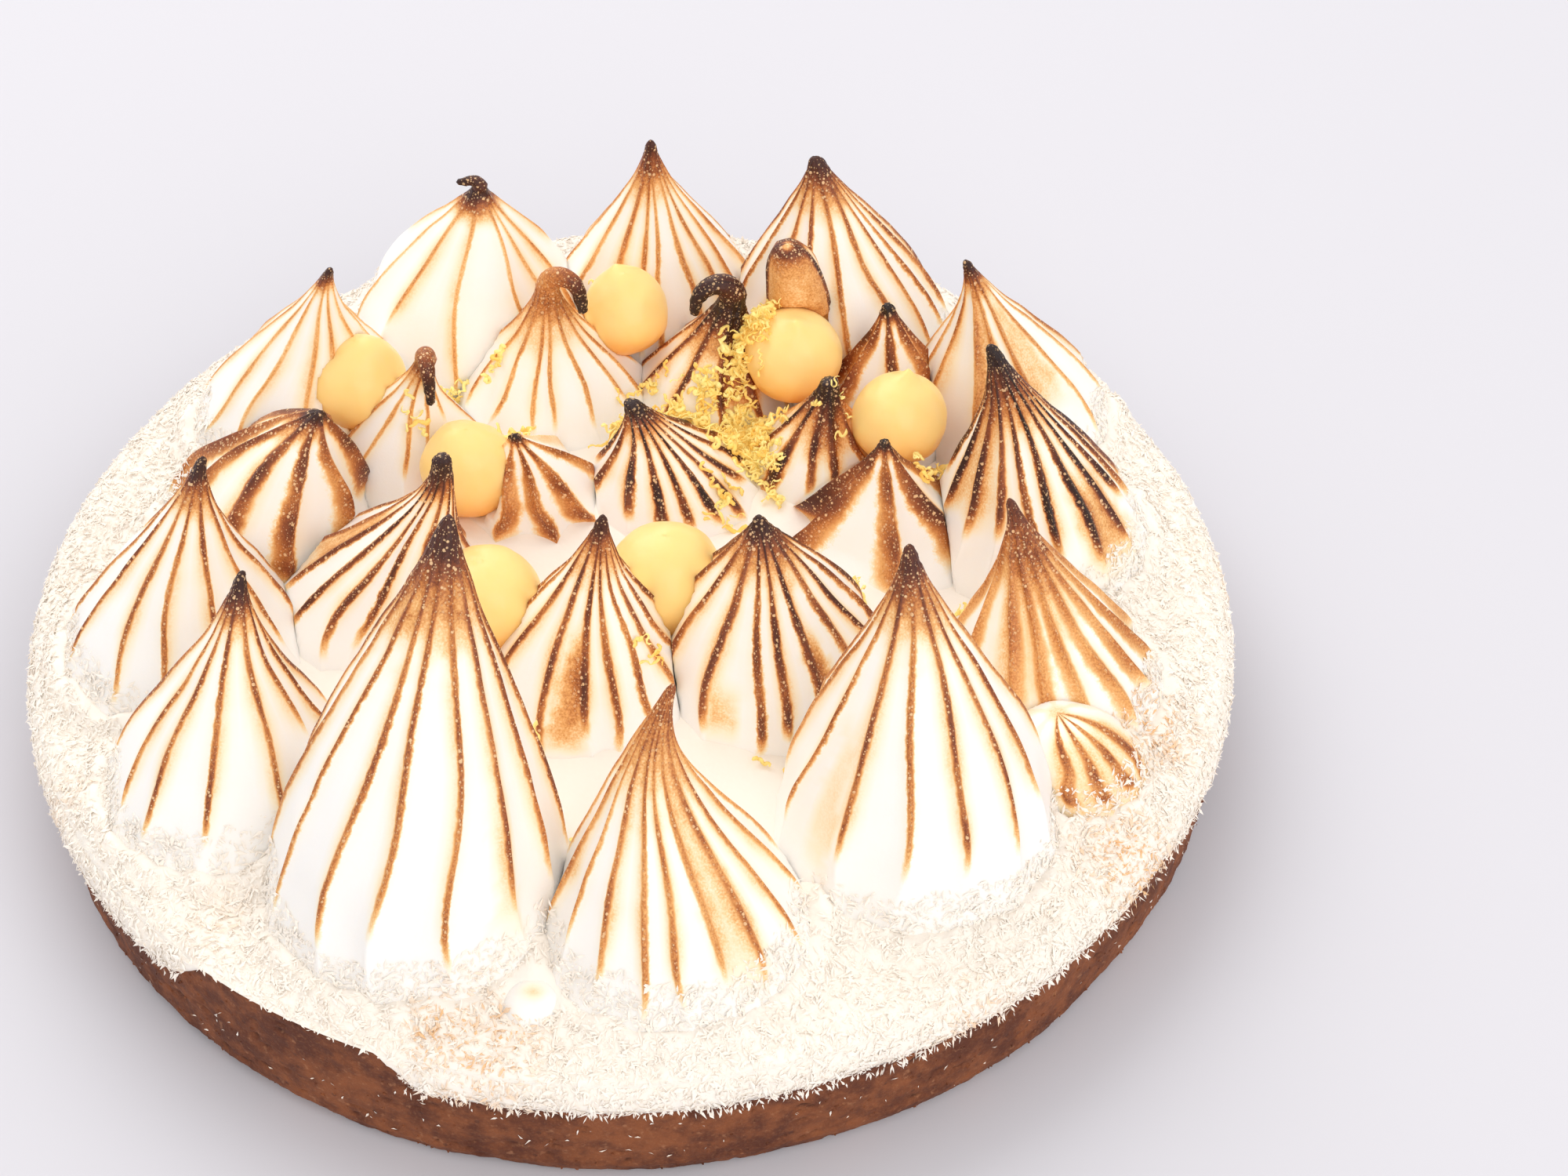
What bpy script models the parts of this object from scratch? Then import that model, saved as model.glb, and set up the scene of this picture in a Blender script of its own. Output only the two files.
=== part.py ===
"""Lemon meringue pie: a shortcrust case, a coconut-covered top, piped meringue kisses and lemon curd balls.

Run with: blender --background --python part.py
Metres, +Z up. The pie stands on its flat foot at z = 0, with its middle on the Z axis.
"""

import math
from typing import NamedTuple

import bmesh
import bpy
from mathutils import Vector, noise

MM = 0.001

# Driving dimensions
PIE_RADIUS = 100 * MM
TOP_HEIGHT = 25 * MM
CRUST_RADIUS = 98.3 * MM
CRUST_HEIGHT = 23.8 * MM
SKIRT_FOOT = 18.5 * MM  # how low the coconut hangs over the crust's wall
KISS_LIMIT = 95 * MM  # how far from the middle the kisses may reach
GAP = 0.3 * MM
UNEVENNESS = 0.8 * MM

# The stretch of wall, at the front left, that the coconut has come off
BARE_MIDDLE = math.radians(-119.5)
BARE_HALF_WIDTH = math.radians(9)
BARE_SLOPE = math.radians(4)

# Detail of the turned pieces
CASE_COLUMNS = 48
BALL_COLUMNS = 11
BALL_ROWS = 6

# How far up a kiss its rings of points lie, from its foot (0) to its tip (1)
TALL_ROWS = (0.0, 0.14, 0.4, 0.66, 0.9)
SHORT_ROWS = (0.0, 0.18, 0.52, 0.85)
FOOT_FLARE = 0.06
FLARE_END = 0.14
LEAN_POWER = 1.7
HOOK_ROWS = 4
HOOK_TAPER = 0.6


class Kiss(NamedTuple):
    """One piped kiss. Lengths are in millimetres and angles in degrees."""

    name: str
    angle: float  # where it stands, turned from +X
    distance: float  # from the pie's middle
    radius: float
    height: float  # above the coconut top
    lean: tuple  # how far its tip leans along X and Y
    point: float = 1.7  # more draws the tip out thinner
    bulge: float = 1.5  # more fills the shoulders out
    ridges: int = 13
    groove: float = 0.07  # how deep the grooves are, as a share of the radius
    facing: float = -90.0  # where one of the ridges is, half-way up
    twist: float = 0.0  # how far the ridges turn from foot to tip
    neck: float = 0.8  # radius of the tip
    bow: tuple = (0, 0)  # how far its middle line bows out along X and Y on the way up
    hook: tuple = ()  # direction, bend radius, tail length and turn of a curled tip


KISSES = (
    # The outer ring, counter-clockwise from the right
    Kiss("kiss_right", 12.3, 69.5, 19, 42.5, (-9.5, 0), ridges=15, neck=1.1),
    Kiss("kiss_back_right", 35.5, 79, 19, 37.4, (-8.5, -3), ridges=12, groove=0.09),
    Kiss("kiss_back_mid_right", 62.5, 75.3, 21, 41.8, (-4, -1), 1.5, 1.7, neck=1.3),
    Kiss("kiss_back", 88.5, 75, 20.5, 40, (0, -2)),
    Kiss("kiss_back_mid_left", 115, 75, 21, 35, (4, -2), 1.28, 2.0, 11, neck=1.4, hook=(180, 1.4, 2.2, 95)),
    Kiss("kiss_back_left", 142.5, 74, 20, 38, (8, -5), ridges=11),
    Kiss("kiss_left_petals", 164.5, 65.5, 18.5, 27, (12, -1), 1.15, 2.0, 8, 0.2, -32, -14),
    Kiss("kiss_left", 188.5, 74, 19.5, 40, (8, 2), ridges=11),
    Kiss("kiss_left_front", 214, 74, 20, 42, (6, 5), ridges=11),
    Kiss("kiss_front_left", 244.2, 69, 23, 63.5, (8, 15), 1.4, 1.8, twist=20, neck=1.2),
    Kiss("kiss_front", 277.3, 71, 20.5, 44, (0.5, 9), ridges=14, bow=(-3, 0)),
    Kiss("kiss_front_right", 312.2, 68.2, 21.5, 57.2, (-2.6, 4), 1.7, 2.0, twist=14, neck=1.0),
    Kiss("kiss_right_lump", 331, 82, 11, 12.5, (-4, 2), 0.6, 2.0, 8, 0.1),
    Kiss("kiss_right_front", 342.8, 71, 19, 38.6, (-7.8, 4), groove=0.09, twist=-25),
    # Inside the ring, from the back to the front
    Kiss("kiss_finger", 61.8, 62.2, 5.2, 34, (-3.5, -3), 0.5, 4.0, 5, 0.05, neck=0.8),
    Kiss("kiss_hook_left", 108, 52.5, 18.5, 26.8, (0.8, -1), neck=2.2, hook=(-20, 2.9, 4.0, 172)),
    Kiss("kiss_hook_mid", 76, 52.5, 15, 23.8, (3.8, -1), ridges=10, neck=2.4, hook=(200, 3.4, 2.2, 172)),
    Kiss("kiss_petals_back", 45, 63, 15.5, 25.7, (-1.5, 1), ridges=7, groove=0.26, facing=-92, neck=1.1),
    Kiss("kiss_curl", 140.5, 53, 15.5, 25.6, (6, -3), 1.9, ridges=10, neck=1.9, hook=(-80, 2.4, 5, 165)),
    Kiss("kiss_blunt_right", 45, 44, 13.5, 22.9, (2, -2), 1.9, ridges=11, neck=1.6),
    Kiss("kiss_blunt", 76, 25, 16.5, 21.9, (-6.5, 0.5), neck=1.5),
    Kiss("kiss_petals_left", 128, 29, 14.5, 18.8, (-2, -3), 1.5, 1.7, 7, 0.22, -68, -10),
    Kiss("kiss_petals_mid", 18, 44, 17, 24.2, (0, -1), ridges=6, groove=0.28, facing=-84),
    Kiss("kiss_middle_left", 181.5, 41, 18.5, 34, (12, -1), 2.3, neck=1.6, bow=(3, 0)),
    Kiss("kiss_middle", 253, 21, 19, 35.2, (3.4, 3), twist=-12),
    Kiss("kiss_middle_right", 322.5, 29.5, 19.5, 34, (-2, 2), 1.45, 2.0),
    # Two low ones, behind the tall ones at the front
    Kiss("kiss_low_left", 221.5, 46.5, 15, 17, (1, 2), 1.4, ridges=10),
    Kiss("kiss_low_right", 337, 51, 13, 13, (0, 1), 1.2, ridges=10),
)


class Ball(NamedTuple):
    """One ball of lemon curd, resting between the kisses. Lengths are in millimetres."""

    name: str
    x: float
    y: float
    z: float
    radius: float


BALLS = (
    Ball("curd_back_left", -48, 38.5, 39, 8.3),
    Ball("curd_back", -2.5, 56.5, 40, 7.4),
    Ball("curd_back_right", 27, 45, 40, 8.4),
    Ball("curd_right", 45, 29.5, 39, 8.1),
    Ball("curd_left", -28, 21, 35, 8.1),
    Ball("curd_middle", 6.2, -8.6, 38.1, 9.6),
    Ball("curd_front", -22.5, -13, 38.3, 8.6),
)


def clear_scene():
    for old in list(bpy.data.objects):
        bpy.data.objects.remove(old, do_unlink=True)


def material(name, colour, roughness):
    """A plain Principled material."""
    made = bpy.data.materials.new(name)
    made.use_nodes = True
    shader = made.node_tree.nodes["Principled BSDF"]
    shader.inputs["Base Color"].default_value = (*colour, 1.0)
    shader.inputs["Roughness"].default_value = roughness
    shader.inputs["Metallic"].default_value = 0.0
    made.diffuse_color = (*colour, 1.0)
    return made


def add_object(name, points, faces, look, smooth_angle):
    """An object from points and faces, its faces turned outwards."""
    mesh = bpy.data.meshes.new(name)
    mesh.from_pydata(points, [], faces)
    work = bmesh.new()
    work.from_mesh(mesh)
    bmesh.ops.recalc_face_normals(work, faces=work.faces)
    work.to_mesh(mesh)
    work.free()
    mesh.shade_smooth()
    mesh.set_sharp_from_angle(angle=math.radians(smooth_angle))
    mesh.materials.append(look)
    made = bpy.data.objects.new(name, mesh)
    bpy.context.scene.collection.objects.link(made)
    return made


def stack_rings(rings, tip=None):
    """Points and faces of a closed skin over rings of equal length, with a flat foot and a flat top or a tip."""
    columns = len(rings[0])
    points = [point for ring in rings for point in ring]
    faces = [list(range(columns))]
    for row in range(len(rings) - 1):
        low = row * columns
        high = low + columns
        for column in range(columns):
            after = (column + 1) % columns
            faces.append((low + column, low + after, high + after, high + column))
    last = (len(rings) - 1) * columns
    if tip is None:
        faces.append([last + column for column in range(columns)])
    else:
        points.append(tip)
        for column in range(columns):
            faces.append((last + column, last + (column + 1) % columns, len(points) - 1))
    return points, faces


def wobble(angle, waves, phase):
    """A smooth, repeatable unevenness between -1 and 1 that closes on itself round the pie."""
    place = Vector((math.cos(angle) * waves, math.sin(angle) * waves, phase))
    return noise.noise(place)


def bareness(angle):
    """1 where the coconut has come off the crust's wall, 0 elsewhere, with a short slope between."""
    away = abs((angle - BARE_MIDDLE + math.pi) % math.tau - math.pi)
    return max(0.0, min(1.0, (BARE_HALF_WIDTH + BARE_SLOPE - away) / BARE_SLOPE))


def turned_rings(profile):
    """Rings of a turned piece. Each row is radius, height, its share of unevenness, and both sizes where bare."""
    rings = []
    for radius, height, share, bare_radius, bare_height in profile:
        ring = []
        for column in range(CASE_COLUMNS):
            angle = math.tau * column / CASE_COLUMNS
            bare = bareness(angle)
            out = radius + (bare_radius - radius) * bare
            out += share * UNEVENNESS * wobble(angle, 2.5, 3.0)
            up = height + (bare_height - height) * bare
            ring.append(Vector((out * math.cos(angle), out * math.sin(angle), up)))
        rings.append(ring)
    return rings


def build_crust(look):
    """The shortcrust case: a solid disc with an almost upright wall and a rounded, uneven foot."""
    outer = CRUST_RADIUS
    sizes = (
        (outer - 4.2 * MM, 0.0, 0.0),
        (outer - 1.6 * MM, 0.9 * MM, 0.6),
        (outer - 0.5 * MM, 3.2 * MM, 1.0),
        (outer, 10.5 * MM, 1.0),
        (outer, CRUST_HEIGHT - 0.9 * MM, 1.0),
        (outer - 0.9 * MM, CRUST_HEIGHT, 1.0),
    )
    profile = [(*size, size[0], size[1]) for size in sizes]
    return add_object("crust", *stack_rings(turned_rings(profile)), look, 40)


def build_coconut_top(look):
    """The coconut-covered top. Its rounded edge hangs over the crust's wall, except where it has come off."""
    inner = CRUST_RADIUS + GAP
    under = CRUST_HEIGHT + GAP
    thin = 0.15 * MM
    profile = (
        (inner, under, 1.0, inner, under),
        (inner, SKIRT_FOOT, 1.0, inner, under - thin),
        (PIE_RADIUS - 0.5 * MM, SKIRT_FOOT - 0.2 * MM, 1.0, inner + thin, under),
        (PIE_RADIUS, SKIRT_FOOT + 2.4 * MM, 1.0, inner + 2 * thin, under + thin),
        (PIE_RADIUS - 0.9 * MM, TOP_HEIGHT - 1.5 * MM, 1.0, inner + thin, under + 2 * thin),
        (PIE_RADIUS - 2.8 * MM, TOP_HEIGHT - 0.3 * MM, 0.6, inner - 1.2 * MM, TOP_HEIGHT - 0.2 * MM),
        (PIE_RADIUS - 4.8 * MM, TOP_HEIGHT, 0.0, PIE_RADIUS - 4.8 * MM, TOP_HEIGHT),
    )
    return add_object("coconut_top", *stack_rings(turned_rings(profile)), look, 40)


def standing_place(kiss):
    angle = math.radians(kiss.angle)
    return Vector((math.cos(angle), math.sin(angle))) * kiss.distance * MM


def cell_walls(kiss):
    """The upright planes, as (normal, reach), where this kiss presses against each neighbour."""
    place = standing_place(kiss)
    walls = []
    for other in KISSES:
        if other.name == kiss.name:
            continue
        apart = standing_place(other) - place
        between = apart.length
        if between > (kiss.radius + other.radius) * (1 + FOOT_FLARE) * MM:
            continue
        reach = between * kiss.radius / (kiss.radius + other.radius)
        walls.append((apart / between, reach - GAP / 2))
    return walls


def middle_at(kiss, height):
    """Where the middle line of a leaning kiss is, at a share of its height."""
    lean = Vector(kiss.lean) * height**LEAN_POWER
    return standing_place(kiss) + (lean + Vector(kiss.bow) * math.sin(math.pi * height**2)) * MM


def held_inside(centre, direction, reach, walls, place):
    """How far a point may go from the centre along a direction before it meets a wall of the cell or the rim."""
    for normal, distance in walls:
        towards = normal.dot(direction)
        if towards <= 1e-6:
            continue
        room = distance - normal.dot(centre - place)
        reach = min(reach, max(room, 0.1 * MM) / towards)
    outwards = centre.dot(direction)
    to_rim = math.sqrt(outwards**2 + KISS_LIMIT**2 - centre.length_squared) - outwards
    return min(reach, to_rim)


def kiss_radius(kiss, height):
    """Radius of the kiss at a share of its height, before its grooves."""
    radius = kiss.radius * (1 - height**kiss.bulge) ** kiss.point
    if height < FLARE_END and kiss.point > 1:
        radius *= 1 + FOOT_FLARE * (1 - height / FLARE_END) ** 2
    return (radius + kiss.neck * height) * MM


def ridge_share(kiss, column, columns):
    """1 on the sharp ridges and less in the round grooves between them."""
    phase = (column * kiss.ridges / columns) % 1.0
    return 1 - kiss.groove * (1 - (2 * phase - 1) ** 2)


def column_angle(kiss, column, columns, height):
    """The direction of a column of points, turning with the kiss's twist on the way up."""
    return math.tau * column / columns + math.radians(kiss.facing + kiss.twist * (height - 0.5))


def hook_rings(kiss, tip, radius, columns):
    """Rings along a curled tip: an arc over the top, then a short straight tail."""
    heading, bend, tail, turn = kiss.hook
    along = Vector((math.cos(math.radians(heading)), math.sin(math.radians(heading)), 0.0))
    up = Vector((0.0, 0.0, 1.0))
    side = up.cross(along)
    rings = []
    for step in range(1, HOOK_ROWS + 1):
        turned = math.radians(turn) * min(1.0, step / (HOOK_ROWS - 1))
        centre = tip + (along * (1 - math.cos(turned)) + up * math.sin(turned)) * bend * MM
        if step == HOOK_ROWS:
            centre += (along * math.sin(turned) + up * math.cos(turned)) * tail * MM
        across = along * math.cos(turned) - up * math.sin(turned)
        size = radius * (1 - HOOK_TAPER * (step / HOOK_ROWS) ** 2)
        ring = []
        for column in range(columns):
            angle = column_angle(kiss, column, columns, 1.0)
            outward = Vector((math.cos(angle), math.sin(angle), 0.0))
            ring.append(centre + (across * outward.dot(along) + side * outward.dot(side)) * size)
        rings.append(ring)
    ahead = along * math.sin(turned) + up * math.cos(turned)
    return rings, centre + ahead * size


def build_kiss(kiss, look):
    """One leaning, ridged kiss, pressed flat where it meets its neighbours."""
    place = standing_place(kiss)
    walls = cell_walls(kiss)
    columns = kiss.ridges * (2 if kiss.ridges > 8 else 3)
    if kiss.ridges < 6:
        columns = kiss.ridges * 4
    foot = TOP_HEIGHT + GAP
    rows = TALL_ROWS if kiss.height > 25 else SHORT_ROWS
    rings = []
    for height in rows:
        centre = middle_at(kiss, height)
        ring = []
        for column in range(columns):
            angle = column_angle(kiss, column, columns, height)
            direction = Vector((math.cos(angle), math.sin(angle)))
            reach = kiss_radius(kiss, height) * ridge_share(kiss, column, columns)
            reach = held_inside(centre, direction, reach, walls, place)
            flat = centre + direction * reach
            ring.append(Vector((flat.x, flat.y, foot + kiss.height * height * MM)))
        rings.append(ring)
    tip_place = middle_at(kiss, 1.0)
    tip = Vector((tip_place.x, tip_place.y, foot + kiss.height * MM))
    if kiss.hook:
        more, tip = hook_rings(kiss, tip, kiss.neck * MM, columns)
        rings += more
    return add_object(kiss.name, *stack_rings(rings, tip), look, 50)


def build_ball(ball, radius, name, look):
    """A curd ball, or the slightly larger cutter that makes room for one."""
    mesh = bpy.data.meshes.new(name)
    work = bmesh.new()
    bmesh.ops.create_uvsphere(work, u_segments=BALL_COLUMNS, v_segments=BALL_ROWS, radius=radius)
    work.to_mesh(mesh)
    work.free()
    mesh.shade_smooth()
    mesh.materials.append(look)
    made = bpy.data.objects.new(name, mesh)
    made.location = Vector((ball.x, ball.y, ball.z)) * MM
    bpy.context.scene.collection.objects.link(made)
    return made


def make_room(kiss_object, kiss, ball, cutter):
    """Cuts a hollow in a kiss where a curd ball rests against it."""
    place = standing_place(kiss)
    apart = (Vector((ball.x, ball.y)) * MM - place).length
    if apart > (kiss.radius + ball.radius) * MM:
        return
    cut = kiss_object.modifiers.new(f"room for {ball.name}", "BOOLEAN")
    cut.operation = "DIFFERENCE"
    cut.solver = "EXACT"
    cut.object = cutter


def main():
    clear_scene()
    crust_look = material("shortcrust", (0.235, 0.088, 0.040), 0.75)
    coconut_look = material("coconut", (0.860, 0.800, 0.700), 0.85)
    meringue_look = material("meringue", (0.880, 0.780, 0.670), 0.55)
    curd_look = material("lemon curd", (0.900, 0.610, 0.150), 0.30)
    build_crust(crust_look)
    build_coconut_top(coconut_look)
    cutters = []
    for ball in BALLS:
        build_ball(ball, ball.radius * MM, ball.name, curd_look)
        cutter = build_ball(ball, ball.radius * MM + GAP, f"{ball.name}_room", curd_look)
        cutter.hide_render = True
        cutter.display_type = "WIRE"
        cutters.append((ball, cutter))
    for kiss in KISSES:
        kiss_object = build_kiss(kiss, meringue_look)
        for ball, cutter in cutters:
            make_room(kiss_object, kiss, ball, cutter)


main()
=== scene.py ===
"""Looks for the lemon meringue pie: shortcrust, coconut, torched meringue kisses, lemon curd balls and zest."""

import math
import random
from contextlib import contextmanager
from typing import NamedTuple

import bmesh
import bpy
import numpy as np
from bpy.props import FloatProperty, FloatVectorProperty, IntProperty, PointerProperty
from mathutils import Euler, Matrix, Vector, noise
from mathutils.bvhtree import BVHTree


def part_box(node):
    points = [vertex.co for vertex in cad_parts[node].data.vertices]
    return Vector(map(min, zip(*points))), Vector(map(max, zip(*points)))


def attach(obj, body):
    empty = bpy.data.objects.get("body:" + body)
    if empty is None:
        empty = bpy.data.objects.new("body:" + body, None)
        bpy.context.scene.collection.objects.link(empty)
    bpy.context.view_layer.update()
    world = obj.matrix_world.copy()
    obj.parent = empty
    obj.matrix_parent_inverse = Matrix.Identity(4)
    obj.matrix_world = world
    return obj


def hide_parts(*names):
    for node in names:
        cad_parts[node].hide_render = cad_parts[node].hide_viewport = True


bl_info = {
    "name": "Lemon meringue pie",
    "version": (1, 0, 0),
    "blender": (4, 5, 0),
    "location": "3D View > Sidebar > Pie",
    "description": "Makes the visible pieces of a lemon meringue pie round its solids",
    "category": "Add Mesh",
}

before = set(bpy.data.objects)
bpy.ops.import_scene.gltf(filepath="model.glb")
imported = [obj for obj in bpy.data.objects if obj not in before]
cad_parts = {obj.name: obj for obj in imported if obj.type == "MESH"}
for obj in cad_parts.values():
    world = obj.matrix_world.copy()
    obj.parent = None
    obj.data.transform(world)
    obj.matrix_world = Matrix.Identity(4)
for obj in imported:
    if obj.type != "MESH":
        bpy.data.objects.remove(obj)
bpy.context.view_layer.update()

MM = 0.001
TAU = math.tau
UP = Vector((0, 0, 1))

# The case and its coconut, in millimetres, as the solids have them
CASE_RADIUS = 98.3
CASE_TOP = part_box("crust")[1].z / MM
RIM_RADIUS = 100.0
BED_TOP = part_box("coconut_top")[1].z / MM
SKIRT_FOOT = 18.5  # the lower edge of the coconut over the wall
GAP = 0.3  # between the case and the coconut
UNEVENNESS = 0.8  # how far both wander from a true circle
BARE_MIDDLE = math.radians(-119.5)  # where the wall's top is bare
BARE_HALF_WIDTH = math.radians(9)
BARE_SLOPE = math.radians(4)
CAST_FROM = 120  # where rays start, outside the pie

# The kisses
KISS_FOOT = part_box("kiss_front")[0].z / MM
KISS_LIMIT = 95.0  # how far from the pie's middle they reach
OUTER_KISS = 60  # how far from it those of the outer ring stand, at least
FOOT_FLARE = 0.06  # how much wider the very foot is, as a share
FLARE_END = 0.14  # the share of the height where that ends
LEAN_POWER = 1.7  # more keeps the lean nearer to the tip
DEEP_GROOVE = 0.15  # grooves deeper than this make petals
FOOT_SINK = 0.7  # how far they reach into the coconut
DOLLOP = (-11.6, -83.7, 27.0)  # the middle of the little dollop beside the front kiss
DOLLOP_CLEAR = 4.4  # no coconut lies nearer to it than this


class Toast(NamedTuple):
    """How the torch has coloured one kiss. Shares run from 0 to 1."""

    tip: float = 0.2  # share of the height that is browned all round
    dark: float = 0.9  # how dark that gets
    line: float = 0.6  # how dark the ridges are
    width: float = 0.7  # of the dark line along a ridge, mm
    halo: float = 0.34  # how brown the soft band beside a ridge is
    spread: float = 1.7  # how far that band reaches, mm
    broken: float = 0.1  # share of the ridges that is missed out
    low: float = 0.1  # how far above the foot the lines end
    fan: float = 0.0  # how much a line widens towards the foot
    patches: tuple = ()  # broad browned sides: direction, half width, low, high, strength
    others: float = 1.0  # how dark the ridges are that the kiss doesn't list
    blots: tuple = ()  # round marks: x, y, z, radius in mm, and strength, which is below 0 for a pale one


class Kiss(NamedTuple):
    """One piped kiss. Lengths are in millimetres and angles in degrees."""

    name: str
    angle: float  # where it stands, turned from +X
    distance: float  # from the pie's middle
    radius: float
    height: float  # above the coconut top
    lean: tuple  # how far its tip leans along X and Y
    point: float = 1.7  # more draws the tip out thinner
    bulge: float = 1.5  # more fills the shoulders out
    ridges: int = 13
    groove: float = 0.07  # how deep the grooves are, as a share of the radius
    facing: float = -90.0  # where one of the ridges is, half-way up
    twist: float = 0.0  # how far the ridges turn from foot to tip
    neck: float = 0.8  # radius of the tip
    bow: tuple = (0, 0)  # how far its middle line bows out along X and Y on the way up
    hook: tuple = ()  # direction, bend radius, tail length and turn of a curled tip
    toast: Toast = Toast()
    lines: tuple = ()  # where ridges are, half-way up; the others are spaced out evenly


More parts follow.
